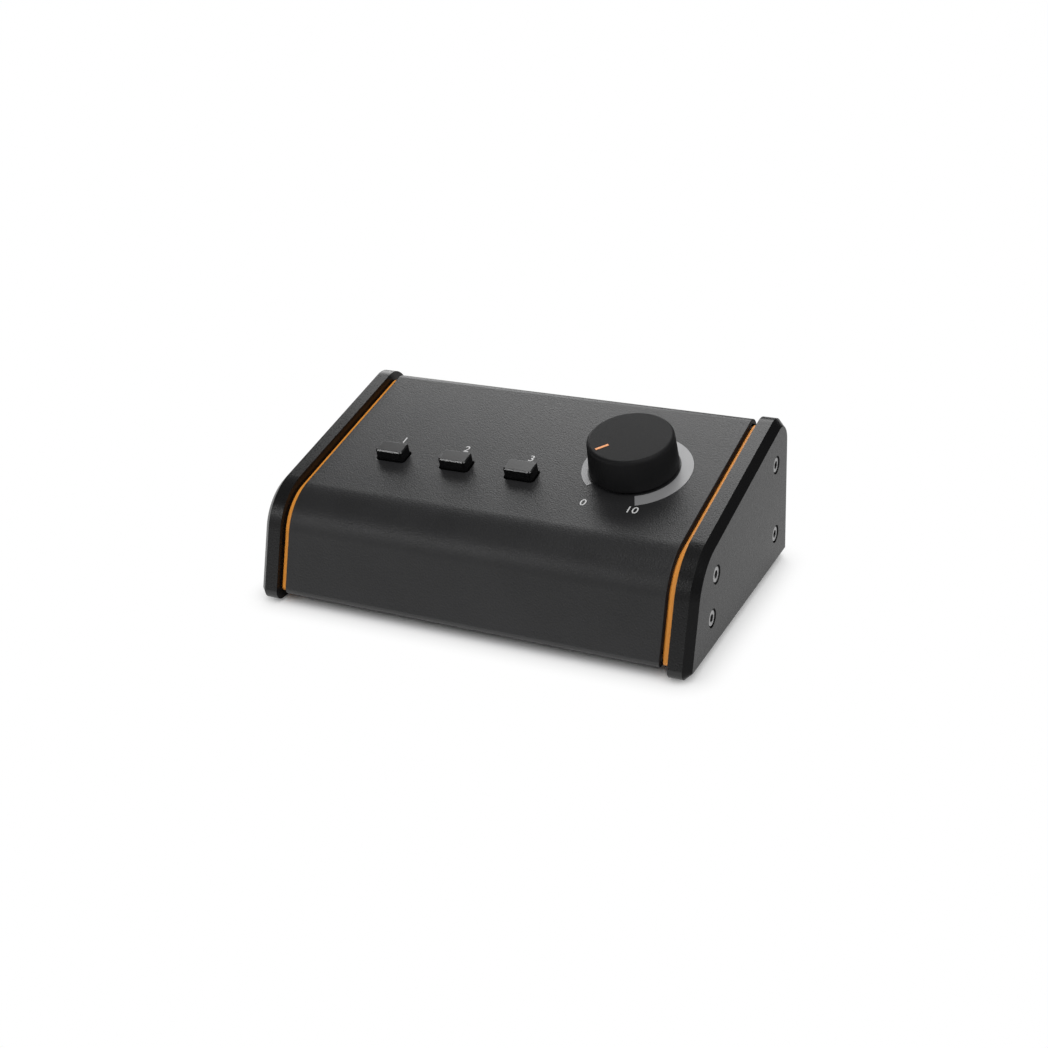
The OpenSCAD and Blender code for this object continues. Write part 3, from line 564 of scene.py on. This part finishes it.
cheekScrewPlan = {
    "headRadius": 2.5,
    "headHeight": 1.35,
    "shankRadius": 1.45,
    "length": 14.5,
    "rimSoft": 0.14,
    "rimLow": 1.6,                   # of rimSoft: where the head's cone starts
    "rimIn": 0.05,
    "hexRadius": 1.4,
    "hexDepth": 1.25,
    "sunk": 0.3,                     # head below the cheek's face
    "steps": 64,
    "soft": (0.06, 2, 30),
}


def makeCheekScrews(side, name, node):
    plan = cheekScrewPlan
    head, rim, shank = plan["headRadius"], plan["rimSoft"], plan["shankRadius"]
    profile = [(0, 0), (head - rim, 0), (head, -rim), (head - plan["rimIn"], -rim * plan["rimLow"]),
               (shank, -plan["headHeight"]), (shank, -plan["length"]), (0, -plan["length"])]
    screws = []
    for point in screwPlaces:
        place = onSide(side, case["width"] / 2 - plan["sunk"], point)
        screw = objectFrom(turnedMesh(profile, plan["steps"]), "screw", place)
        hexTurn = Matrix.Rotation(point.x, 4, "Z")           # so they don't all stand alike
        hexCut = hexMesh(plan["hexRadius"], -plan["hexDepth"], over)
        screws.append(carve(screw, [objectFrom(hexCut, "cutter", place @ hexTurn)]))
    obj = soften(gathered(screws, name), plan["soft"])
    return dress(obj, finishes["cheekScrew"], "housing", "screw_steel", node)


makeCheekScrews(1, "rightCheekScrews", "right_cheek_screws")
makeCheekScrews(-1, "leftCheekScrews", "left_cheek_screws")
print("cheeks done")

# coloured inlays: the rim stands between two narrow steps
inlayPlan = {
    "toe": 1.2,
    "heel": 4.0,
    "stepWidth": 0.58,
    "stepDepth": 0.9,
    "soft": (0.12, 3, 30),
}


def makeInlay(side, name, node):
    plan = inlayPlan

    def section(deeper):
        inset = case["inlayRecess"] + deeper
        return sideOutline(case["coverInset"] + inset, bodyRear - inset,
                           case["stand"] + case["inlayLift"] + deeper,
                           plan["toe"], plan["heel"], plan["toe"])

    step, rim = section(plan["stepDepth"]), section(0)
    low, high = bodyHalf + plan["stepWidth"], cheekInner - plan["stepWidth"]
    bm = steppedMesh([(bodyHalf, step), (low, step), (low, rim), (high, rim), (high, step),
                      (cheekInner, step)])
    moveToSide(bm, side)
    obj = soften(objectFrom(bm, name), plan["soft"])
    return dress(obj, finishes["inlay"], "housing", "inlay_orange", node)


makeInlay(1, "rightInlay", "right_inlay")
makeInlay(-1, "leftInlay", "left_inlay")
print("inlays done")

# push buttons and knob: the cover is cut for them, so their sizes come first
buttonPlan = {
    "names": ("mono", "dim", "mute"),
    "x": -43.2,                      # the first one's middle
    "pitch": 23.5,
    "s": 29.6,
    "width": 10.0,
    "depth": 5.8,
    "rise": 3.7,
    "foot": -2.6,
    "flange": 0.8,
    "flangeThick": 0.8,
    "corner": 1.0,
    "topFacet": 0.42,
    "play": 0.35,                    # round the cap in its window
    # painted sheen: the caps' tops get more shine than their sides, so the tops render lighter
    "paintedSheen": (0.3, 1.0),             # of the sides, then of the top and its facets
    "paintedSheenFacing": (0.3, 0.7),
    "roughness": (0.22, 0.29),       # of sides and facets, then of the top
    "roughnessFacing": (0.75, 0.95),
    "soft": (0.08, 2, 40),
}
knobPlan = {
    "x": 37.8,
    "s": 41.0,
    "radius": 14.3,
    "topRadius": 13.7,
    "gap": 0.8,                      # between panel and knob
    "top": 12.0,
    "edgeRadius": 1.2,
    "footSoft": 0.35,
    "wall": 1.6,
    "crown": 2.6,
    "hubRadius": 5.6,
    "hubFoot": 5.6,
    "insertRadius": 4.4,
    "bushingHole": 4.6,
    "steps": 128,
    "start": math.radians(-133),     # the pointer's place at rest, at the scale's thin end
    "sweep": math.radians(295),
    "pointerIn": 7.4,
    "pointerOut": 11.8,
    "pointerWidth": 0.9,
    "pointerDepth": 0.7,
    "pointerProud": 0.06,
    "soft": (0.08, 2, 40),
    "pointerSoft": (0.05, 2, 30),
}
coverPlan = {"soft": (0.22, 3, 30)}
buttonXs = [buttonPlan["x"] + i * buttonPlan["pitch"] for i in range(len(buttonPlan["names"]))]
buttonPlaces = [onPanel(x, buttonPlan["s"]) for x in buttonXs]
knobPlace = onPanel(knobPlan["x"], knobPlan["s"])
pointerPlace = knobPlace @ Matrix.Rotation(knobPlan["start"], 4, "Z")


def makeCover():
    fold, bend, sheet = case["foldRadius"], case["rearBend"], case["sheet"]
    outer = sideOutline(case["coverInset"], bodyRear, bodyFoot, fold, bend)
    inner = sideOutline(lining, socketFace, baseBottom, fold - sheet, bend - sheet)
    lipLow = socketPanelTop - case["lipDrop"]
    outline = [Vector((flangeEnd, bodyFoot))] + outer[:-1]
    outline += [Vector((bodyRear, lipLow)), Vector((socketFace, lipLow))]
    outline += inner[-2::-1] + [Vector((flangeEnd, baseBottom))]
    obj = objectFrom(plateMesh(outline, -bodyHalf, 2 * bodyHalf), "cover")
    play, (low, high) = buttonPlan["play"], cutReach
    window = roundedBox(buttonPlan["width"] + 2 * play, buttonPlan["depth"] + 2 * play,
                        buttonPlan["corner"] + play)
    cutters = [objectFrom(prismMesh([(p.x, p.y, low) for p in window], (0, 0, high - low)),
                          "cutter", place) for place in buttonPlaces]
    cutters.append(objectFrom(barMesh(knobPlan["bushingHole"], low, high), "cutter", knobPlace))
    soften(carve(obj, cutters), coverPlan["soft"])
    return dress(obj, finishes["cover"], "housing", "cover_coat", "top_cover")


makeCover()
print("cover done")

panelUp = onPanel(0, 0).to_3x3() @ Vector((0, 0, 1))
# painted sheen on the caps: more shine on the top than on the sides
setByFacing(finishes["button"], panelUp, "Specular IOR Level", buttonPlan["paintedSheen"],
            buttonPlan["paintedSheenFacing"])
setByFacing(finishes["button"], panelUp, "Roughness", buttonPlan["roughness"],
            buttonPlan["roughnessFacing"])


def makeButton(name, place, body, node):
    plan = buttonPlan
    flange, flangeThick = plan["flange"], plan["flangeThick"]
    outline = roundedBox(plan["width"] + 2 * flange, plan["depth"] + 2 * flange,
                         plan["corner"] + flange)
    bm = bmesh.new()
    face = bm.faces.new([bm.verts.new((p.x, p.y, plan["foot"])) for p in outline])
    flangeTop = pushOut(bm, [face], (0, 0, flangeThick))[0]
    bmesh.ops.inset_region(bm, faces=[flangeTop], thickness=flange, use_even_offset=True)
    top = pushOut(bm, [flangeTop], (0, 0, plan["rise"] - plan["foot"] - flangeThick))[0]
    bmesh.ops.delete(bm, geom=[flangeTop], context="FACES_ONLY")
    bmesh.ops.bevel(bm, geom=list(top.edges), offset=plan["topFacet"], offset_type="OFFSET",
                    segments=1, profile=0.5, affect="EDGES", material=-1)
    bmesh.ops.recalc_face_normals(bm, faces=bm.faces)
    obj = soften(objectFrom(bm, name, place), plan["soft"])
    return dress(obj, finishes["button"], body, "button_plastic", node)


for buttonName, place in zip(buttonPlan["names"], buttonPlaces):
    makeButton(buttonName + "Cap", place, buttonName, buttonName + "_button")
print("buttons done")

# return springs under the caps, built at their rest length
springPlan = {
    "radius": 2.0,
    "wire": 0.25,
    "wireSides": 8,
    "foot": -12.5,                   # foot and top, from the panel's face
    "top": -7.6,
    "turns": 5.5,
    "stepsPerTurn": 24,
    "travel": 2.5,
}


def makeSpring(name, place, node):
    plan = springPlan
    bm = bmesh.new()
    ring = bmesh.ops.create_circle(bm, cap_ends=False, radius=plan["wire"],
                                   segments=plan["wireSides"])["verts"]
    bmesh.ops.rotate(bm, cent=(0, 0, 0), matrix=Matrix.Rotation(math.pi / 2, 3, "X"), verts=ring)
    bmesh.ops.translate(bm, vec=(plan["radius"], 0, plan["foot"] + plan["wire"]), verts=ring)
    steps = round(plan["stepsPerTurn"] * plan["turns"])
    length = plan["top"] - plan["foot"]
    rise = (length - 2 * plan["wire"]) / steps
    bmesh.ops.spin(bm, geom=ring + list(bm.edges), axis=(0, 0, 1), cent=(0, 0, 0),
                   dvec=(0, 0, rise), angle=math.tau * plan["turns"], steps=steps,
                   use_merge=False, use_duplicate=False)
    bmesh.ops.holes_fill(bm, edges=[e for e in bm.edges if e.is_boundary], sides=0)
    bmesh.ops.recalc_face_normals(bm, faces=bm.faces)
    obj = dress(objectFrom(bm, name, place), finishes["spring"], "housing", "spring_steel", node)
    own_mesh(obj)


for buttonName, place in zip(buttonPlan["names"], buttonPlaces):
    makeSpring(buttonName + "Spring", place, buttonName + "_spring")
print("springs done")


# volume knob, pointer and printed scale
def pointerBlock(proud):
    plan = knobPlan
    half = plan["pointerWidth"] / 2
    return boxMesh((plan["pointerIn"], -half, plan["top"] - plan["pointerDepth"]),
                   (plan["pointerOut"], half, plan["top"] + proud))


def makeKnob():
    plan = knobPlan
    insert, hub, hubFoot = plan["insertRadius"], plan["hubRadius"], plan["hubFoot"]
    inner, ceiling = plan["topRadius"] - plan["wall"], plan["top"] - plan["crown"]
    innerFoot, outerFoot = Vector((inner, plan["gap"])), Vector((plan["radius"], plan["gap"]))
    shoulder, topMiddle = Vector((plan["topRadius"], plan["top"])), Vector((0, plan["top"]))
    profile = [(0, ceiling), (insert, ceiling), (insert, hubFoot), (hub, hubFoot), (hub, ceiling),
               (inner, ceiling), innerFoot]
    profile += cornerArc(innerFoot, outerFoot, shoulder, plan["footSoft"])
    profile += cornerArc(outerFoot, shoulder, topMiddle, plan["edgeRadius"]) + [topMiddle]
    obj = objectFrom(turnedMesh(profile, plan["steps"]), "volumeKnob", knobPlace)
    carve(obj, [objectFrom(pointerBlock(over), "cutter", pointerPlace)])
    soften(obj, plan["soft"])
    return dress(obj, finishes["knob"], "volume", "knob_plastic", "volume_knob")


def makePointer():
    plan = knobPlan
    obj = objectFrom(pointerBlock(plan["pointerProud"]), "knobPointer", pointerPlace)
    soften(obj, plan["pointerSoft"])
    return dress(obj, finishes["pointer"], "volume", "pointer_orange", "knob_pointer")


scalePlan = {
    "inner": 14.7,
    "thin": 1.8,
    "wide": 4.7,
    "thick": 0.12,
    "steps": 120,
    "soft": (0.02, 1, 30),
}


def makeScale():
    plan = scalePlan
    bm = bmesh.new()
    rows = []
    for i in range(plan["steps"] + 1):
        share = i / plan["steps"]
        ray = heading(knobPlan["start"] - knobPlan["sweep"] * share)
        outer = plan["inner"] + plan["thin"] + (plan["wide"] - plan["thin"]) * share
        rows.append([bm.verts.new((*(ray * r), 0)) for r in (plan["inner"], outer)])
    faces = [bm.faces.new((a[0], b[0], b[1], a[1])) for a, b in zip(rows, rows[1:])]
    pushOut(bm, faces, (0, 0, plan["thick"]))
    bmesh.ops.recalc_face_normals(bm, faces=bm.faces)
    obj = soften(objectFrom(bm, "volumeScale", knobPlace), plan["soft"])
    return dress(obj, finishes["ink"], "housing", "scale_print", "volume_scale")


makeKnob()
makePointer()
makeScale()
print("volume control done")

# base plate and rubber feet
basePlan = {
    "frontScrewIn": 4.0,             # from the end of the cover's flange
    "rearScrewIn": 18.5,             # from the socket panel's inner face
    "soft": (0.25, 2, 30),
}
footPlan = {
    "x": 48.0,
    "radius": 6.0,
    "taper": 1.0,
    "edgeGap": 2.0,
    "edgeRadius": 0.5,
    "recess": 2.6,
    "recessDeep": 1.4,
    "recessEdge": 0.3,
    "steps": 72,
    "soft": (0.1, 2, 40),
}


def makeBasePlate():
    front = liningCorners[0].x + case["gap"]
    obj = objectFrom(boxMesh((-bodyHalf, front, baseBottom), (bodyHalf, socketFace, baseTop)),
                     "basePlate")
    soften(obj, basePlan["soft"])
    return dress(obj, finishes["darkSteel"], "housing", "dark_steel", "base_plate")


def makeFeet():
    plan = footPlan
    low, high = plan["radius"] - plan["taper"], plan["radius"]
    recess, deep, edge = plan["recess"], plan["recessDeep"], plan["recessEdge"]
    profile = [(0, deep), (recess - edge, deep), (recess, edge), (recess + edge, 0)]
    profile += cornerArc(Vector((recess, 0)), Vector((low, 0)), Vector((high, baseBottom)),
                         plan["edgeRadius"])
    profile += [(high, baseBottom), (0, baseBottom)]
    frontY = flangeEnd + plan["radius"] + plan["edgeGap"]
    rearY = socketBack - plan["radius"] - plan["edgeGap"]
    feet = [objectFrom(turnedMesh(profile, plan["steps"]), "foot",
                       Matrix.Translation((side * plan["x"], y, 0)))
            for side in (-1, 1) for y in (frontY, rearY)]
    obj = soften(gathered(feet, "rubberFeet"), plan["soft"])
    return dress(obj, finishes["rubber"], "housing", "foot_rubber", "rubber_feet")


panScrewPlan = {
    "radius": 1.45,
    "length": 8.0,
    "tipEdge": 0.3,
    "headRadius": 2.75,
    "headHeight": 1.6,
    "headRound": 0.55,
    "hexRadius": 1.15,
    "hexDepth": 1.2,
    "steps": 48,
    "soft": (0.06, 2, 30),
}


def makePanScrews(places, name, node):
    plan = panScrewPlan
    shank, tip, length = plan["radius"], plan["tipEdge"], plan["length"]
    head, height = plan["headRadius"], plan["headHeight"]
    profile = [(0, -length), (shank - tip, -length), (shank, tip - length), (shank, 0), (head, 0)]
    profile += cornerArc(Vector((head, 0)), Vector((head, height)), Vector((0, height)),
                         plan["headRound"])
    profile += [(0, height)]
    screws = []
    for place in places:
        screw = objectFrom(turnedMesh(profile, plan["steps"]), "screw", place)
        hexCut = hexMesh(plan["hexRadius"], height - plan["hexDepth"], height + over)
        screws.append(carve(screw, [objectFrom(hexCut, "cutter", place)]))
    obj = soften(gathered(screws, name), plan["soft"])
    return dress(obj, finishes["blackScrew"], "housing", "black_steel", node)


# socket panel, and what stands in it: four large sockets and a small one
backPlan = {
    "boardLift": 5.1,                # top of the socket board above the base plate
    "lowScrewHeight": 14.0,          # above the base plate
    "lipScrewDrop": 3.5,             # below the panel's top
    "holePlay": 0.1,
    "soft": (0.2, 2, 30),
}
socketKinds = {
    "large": {
        "block": (16.0, 12.6, 25.5),
        "noseRadius": 4.5,
        "noseOut": 4.4,
        "bore": 3.25,
        "hexNut": True,
        "nutRadius": 6.6,
        "nutHeight": 2.2,
        "washerRadius": 6.8,
    },
    "small": {
        "block": (8.0, 7.6, 14.0),
        "noseRadius": 3.0,
        "noseOut": 3.2,
        "bore": 1.8,
        "hexNut": False,             # a round nut with a slot
        "nutRadius": 4.6,
        "nutHeight": 1.6,
        "washerRadius": 4.6,
    },
}
socketRows = (
    ("rightOutputSocket", "right_output_jack", "large", -42.5),
    ("leftOutputSocket", "left_output_jack", "large", -20.5),
    ("rightInputSocket", "right_input_jack", "large", 1.5),
    ("leftInputSocket", "left_input_jack", "large", 23.5),
    ("auxSocket", "aux_jack", "small", 43.0),
)
socketPlan = {
    "thread": 0.8,                   # from one ridge of the neck to the next
    "threadDepth": 0.28,
    "threadLow": 0.2,                # plain neck under the ridges, at least
    "threadGap": 0.1,                # between plain neck and first ridge
    "root": 0.5,                     # of the neck inside the block
    "tipHeight": 0.5,
    "tipIn": 0.45,
    "mouthEdge": 0.35,
    "soft": (0.07, 2, 40),
}
nutPlan = {
    "washerThick": 0.6,
    "play": 0.05,                    # round the neck
    "boreReach": (-2, 6),
    "boreSteps": 80,
    "domeDrop": 0.75,
    "domeIn": 0.25,
    "ringEdge": 0.35,
    "slotWidth": 1.0,
    "slotDepth": 0.7,
    "soft": (0.08, 2, 35),
}


def axisHeight(kind):
    return baseTop + backPlan["boardLift"] + kind["block"][1] / 2


sockets = [(name, node, socketKinds[kind], onBack(x, axisHeight(socketKinds[kind])))
           for name, node, kind, x in socketRows]


def makeSocketPanel():
    plan = backPlan
    obj = objectFrom(boxMesh((-bodyHalf, socketBack, baseTop),
                             (bodyHalf, socketFace, socketPanelTop)), "socketPanel")
    carve(obj, [objectFrom(barMesh(kind["noseRadius"] + plan["holePlay"], *cutReach), "cutter",
                           place) for name, node, kind, place in sockets])
    soften(obj, plan["soft"])
    return dress(obj, finishes["darkSteel"], "housing", "dark_steel", "socket_panel")


def makeSocket(name, node, kind, place):
    plan = socketPlan
    nose, out, bore, (width, height, length) = (
        kind[key] for key in ("noseRadius", "noseOut", "bore", "block"))
    front = -case["backThick"]
    body = objectFrom(boxMesh((-width / 2, -height / 2, front - length),
                              (width / 2, height / 2, front)), name, place)
    valley, root, tip = nose - plan["threadDepth"], front - plan["root"], out - plan["tipHeight"]
    ridges = int((tip - plan["threadLow"]) / plan["thread"])
    firstRidge = tip - ridges * plan["thread"]
    profile = [(0, root), (nose, root), (nose, firstRidge - plan["threadGap"])]
    for i in range(ridges):
        low = firstRidge + i * plan["thread"]
        profile += [(valley, low), (nose, low + plan["thread"] / 2)]
    profile += [(valley, tip), (nose - plan["tipIn"], out), (0, out)]
    carve(body, [objectFrom(turnedMesh(profile), "neck", place)], "UNION")
    rear, edge = front - length - over, plan["mouthEdge"]
    mouth = [(0, rear), (bore, rear), (bore, out - edge), (bore + edge, out),
             (bore + edge, out + over), (0, out + over)]
    carve(body, [objectFrom(turnedMesh(mouth), "cutter", place)])
    soften(body, plan["soft"])
    return dress(body, finishes["socket"], "housing", "socket_plastic", node)


def makeNut(kind, place):
    plan = nutPlan
    corner, low = kind["nutRadius"], plan["washerThick"]
    high = low + kind["nutHeight"]
    if kind["hexNut"]:
        nut = objectFrom(hexMesh(corner, low, high), "nut", place)
        flat = corner * math.cos(math.pi / 6)
        dome = turnedMesh([(0, low - over), (corner + over, low - over),
                           (corner + over, high - plan["domeDrop"]),
                           (flat - plan["domeIn"], high), (0, high)])
        carve(nut, [objectFrom(dome, "cutter", place)], "INTERSECT")
    else:
        edge, half = plan["ringEdge"], plan["slotWidth"] / 2
        ring = turnedMesh([(0, low), (corner, low), (corner, high - edge), (corner - edge, high),
                           (0, high)])
        nut = objectFrom(ring, "nut", place)
        slot = boxMesh((-corner - over, -half, high - plan["slotDepth"]),
                       (corner + over, half, high + over))
        carve(nut, [objectFrom(slot, "cutter", place)])
    bore = barMesh(kind["noseRadius"] + plan["play"], *plan["boreReach"], plan["boreSteps"])
    return carve(nut, [objectFrom(bore, "cutter", place)])


def makeWasher(kind, place):
    hole, rim = kind["noseRadius"] + nutPlan["play"], kind["washerRadius"]
    thick = nutPlan["washerThick"]
    profile = [(hole, 0), (rim, 0), (rim, thick), (hole, thick)]
    return objectFrom(turnedMesh(profile, closed=True), "washer", place)


def makeNuts():
    nuts = [makeNut(kind, place) for name, node, kind, place in sockets]
    washers = [makeWasher(kind, place) for name, node, kind, place in sockets]
    for parts, name, finish, node in ((nuts, "socketNuts", "screw", "jack_nuts"),
                                      (washers, "socketWashers", "washer", "jack_washers")):
        obj = soften(gathered(parts, name), nutPlan["soft"])
        dress(obj, finishes[finish], "housing", "screw_steel", node)


makeBasePlate()
makeFeet()
makeSocketPanel()
upsideDown = Matrix.Rotation(math.pi, 4, "X")
baseRows = ((flangeEnd - basePlan["frontScrewIn"], bodyFoot),
            (socketBack - basePlan["rearScrewIn"], baseBottom))
makePanScrews([Matrix.Translation((side * frameMid, y, z)) @ upsideDown
               for side in (-1, 1) for y, z in baseRows], "baseScrews", "base_screws")
panelRows = ((case["sheet"], socketPanelTop - backPlan["lipScrewDrop"]),    # on the cover's lip
             (0, baseTop + backPlan["lowScrewHeight"]))
makePanScrews([Matrix.Translation((0, proud, 0)) @ onBack(side * frameMid, z)
               for side in (-1, 1) for proud, z in panelRows],
              "socketPanelScrews", "socket_panel_screws")
for socketRow in sockets:
    makeSocket(*socketRow)
makeNuts()
print("base and back done")

# printed numbers: plain digits only
printPlan = {
    "height": 3.0,
    "thick": 0.05,
    "capitalShare": 0.7,             # a capital's height as a share of the type size
    "buttonS": 36.9,
    "buttonLeft": 0.5,               # left of the button's middle
    "endS": 19.4,
    "zeroX": 28.9,
    "tenX": 45.0,
    "socketHeight": 3.2,
    "socketLift": 9.4,               # above the large sockets' axis
}


def makeNumber(digits, name, height, place):
    curve = bpy.data.curves.new(name, "FONT")
    curve.body = digits
    curve.size = height / printPlan["capitalShare"]
    curve.align_x = "CENTER"
    curve.extrude = printPlan["thick"] / 2
    scratch = newObject("scratch", curve)
    bm = bmesh.new()
    bm.from_mesh(meshNow(scratch))
    bpy.data.objects.remove(scratch)
    bmesh.ops.translate(bm, vec=(0, 0, printPlan["thick"] / 2), verts=bm.verts)
    return dress(objectFrom(bm, name, place), finishes["labelInk"], "housing", "scale_print")


for index, x in enumerate(buttonXs):
    makeNumber(str(index + 1), "numberButton" + str(index + 1), printPlan["height"],
               onPanel(x - printPlan["buttonLeft"], printPlan["buttonS"]))
for digits, name, x in (("0", "numberScaleStart", printPlan["zeroX"]),
                        ("10", "numberScaleEnd", printPlan["tenX"])):
    makeNumber(digits, name, printPlan["height"], onPanel(x, printPlan["endS"]))
# the numbers on the back stand upright and read right from the rear
behind = Matrix(((-1, 0, 0, 0), (0, 0, 1, 0), (0, 1, 0, 0), (0, 0, 0, 1)))
numberZ = axisHeight(socketKinds["large"]) + printPlan["socketLift"]
for index, socketRow in enumerate(socketRows):
    makeNumber(str(index + 1), "numberSocket" + str(index + 1), printPlan["socketHeight"],
               Matrix.Translation((socketRow[-1], socketFace, numberZ)) @ behind)
print("numbers done")

# floor, lamps and world, in metres
stagePlan = {
    "floorHalf": 20.0,
    "floorColour": (0.90, 0.90, 0.90),
    "floorRoughness": 0.9,
    "floorSpecular": 0.1,
    "shadowHalf": (0.069, 0.038),    # half sizes of the patch of floor that is shaded as it stands
    "shadowFade": 0.016,             # round it, over which the floor turns plain white
    "studioDark": 0.08,              # what mirror rays see of the room
    "studioSoft": 0.42,              # its light on the surfaces, from all round
    "lamps": {
        "backStrip": {"place": (-0.304, 0.629, 0.509), "size": (0.405, 1.05), "turn": 44.5,
                      "glow": 2.7},
        "frontLeft": {"place": (-0.75, -1.05, 0.28), "size": (0.9, 0.5), "turn": 0, "glow": 0.23},
        "edgeStrip": {"place": (-0.59, -0.865, 0.66), "size": (0.45, 0.06), "turn": 0,
                      "glow": 11.0},
        "topRight": {"place": (0.62, -0.40, 1.28), "size": (1.6, 1.6), "turn": 0, "glow": 1.7},
    },
    "lampAim": (0, 0, 0.02),
}


# 1 for what the camera sees, straight or in a mirror or through glass
def seenRays(nodes, links):
    path = nodes.new("ShaderNodeLightPath")
    total = path.outputs["Is Camera Ray"]
    for kind in ("Is Glossy Ray", "Is Transmission Ray"):
        add = addMath(nodes, links, "ShaderNodeMath", "ADD", total, path.outputs[kind])
        add.use_clamp = True
        total = add.outputs["Value"]
    return total


def makeFloor(plan):
    bm = bmesh.new()
    bmesh.ops.create_grid(bm, x_segments=1, y_segments=1, size=plan["floorHalf"] / mm)
    floor = objectFrom(bm, "floor")
    material, nodes, links, shader = newMaterial("floorWhite")
    shader.inputs["Base Color"].default_value = (*plan["floorColour"], 1)
    shader.inputs["Roughness"].default_value = plan["floorRoughness"]
    shader.inputs["Specular IOR Level"].default_value = plan["floorSpecular"]
    away = nodes.new("ShaderNodeTexCoord").outputs["Object"]
    for operation, *values in (("ABSOLUTE",), ("SUBTRACT", (*plan["shadowHalf"], 0)),
                               ("MAXIMUM", (0, 0, 0))):
        away = addMath(nodes, links, "ShaderNodeVectorMath", operation, away,
                       *values).outputs["Vector"]
    reach = addMath(nodes, links, "ShaderNodeVectorMath", "LENGTH", away)
    fade = nodes.new("ShaderNodeMapRange")
    fade.interpolation_type = "SMOOTHSTEP"
    fade.inputs["From Max"].default_value = plan["shadowFade"]
    links.new(reach.outputs["Value"], fade.inputs["Value"])
    share = addMath(nodes, links, "ShaderNodeMath", "MULTIPLY", seenRays(nodes, links),
                    fade.outputs["Result"])
    white = nodes.new("ShaderNodeEmission")
    blend = nodes.new("ShaderNodeMixShader")
    links.new(share.outputs["Value"], blend.inputs["Fac"])
    links.new(shader.outputs["BSDF"], blend.inputs[1])
    links.new(white.outputs["Emission"], blend.inputs[2])
    links.new(blend.outputs["Shader"], nodes["Material Output"].inputs["Surface"])
    floor.data.materials.append(material)


def makeLamps(plan):
    for name, lamp in plan["lamps"].items():
        light = bpy.data.lights.new(name, "AREA")
        light.shape = "RECTANGLE"
        light.size, light.size_y = lamp["size"]
        light.energy = lamp["glow"] * math.pi * light.size * light.size_y
        obj = newObject(name, light)
        obj.visible_camera = False
        obj.location = lamp["place"]
        aim = Vector(plan["lampAim"]) - Vector(lamp["place"])
        turn = Quaternion((0, 0, 1), math.radians(lamp["turn"]))
        obj.rotation_euler = (aim.to_track_quat("-Z", "Y") @ turn).to_euler()


# plain white for the camera, soft for diffuse rays and dark for the rest
def makeWorld(plan):
    world = bpy.data.worlds.new("studio")
    world.use_nodes = True
    nodes, links = world.node_tree.nodes, world.node_tree.links
    path = nodes.new("ShaderNodeLightPath")
    dark = level = plan["studioDark"]
    for ray, strength in (("Is Camera Ray", 1), ("Is Diffuse Ray", plan["studioSoft"])):
        level = addMath(nodes, links, "ShaderNodeMath", "MULTIPLY_ADD", path.outputs[ray],
                        strength - dark, level).outputs["Value"]
    background = nodes["Background"]
    background.inputs["Color"].default_value = (1, 1, 1, 1)
    links.new(level, background.inputs["Strength"])
    bpy.context.scene.world = world


makeFloor(stagePlan)
makeLamps(stagePlan)
makeWorld(stagePlan)
bpy.context.scene.view_settings.view_transform = "Standard"
print("stage done")
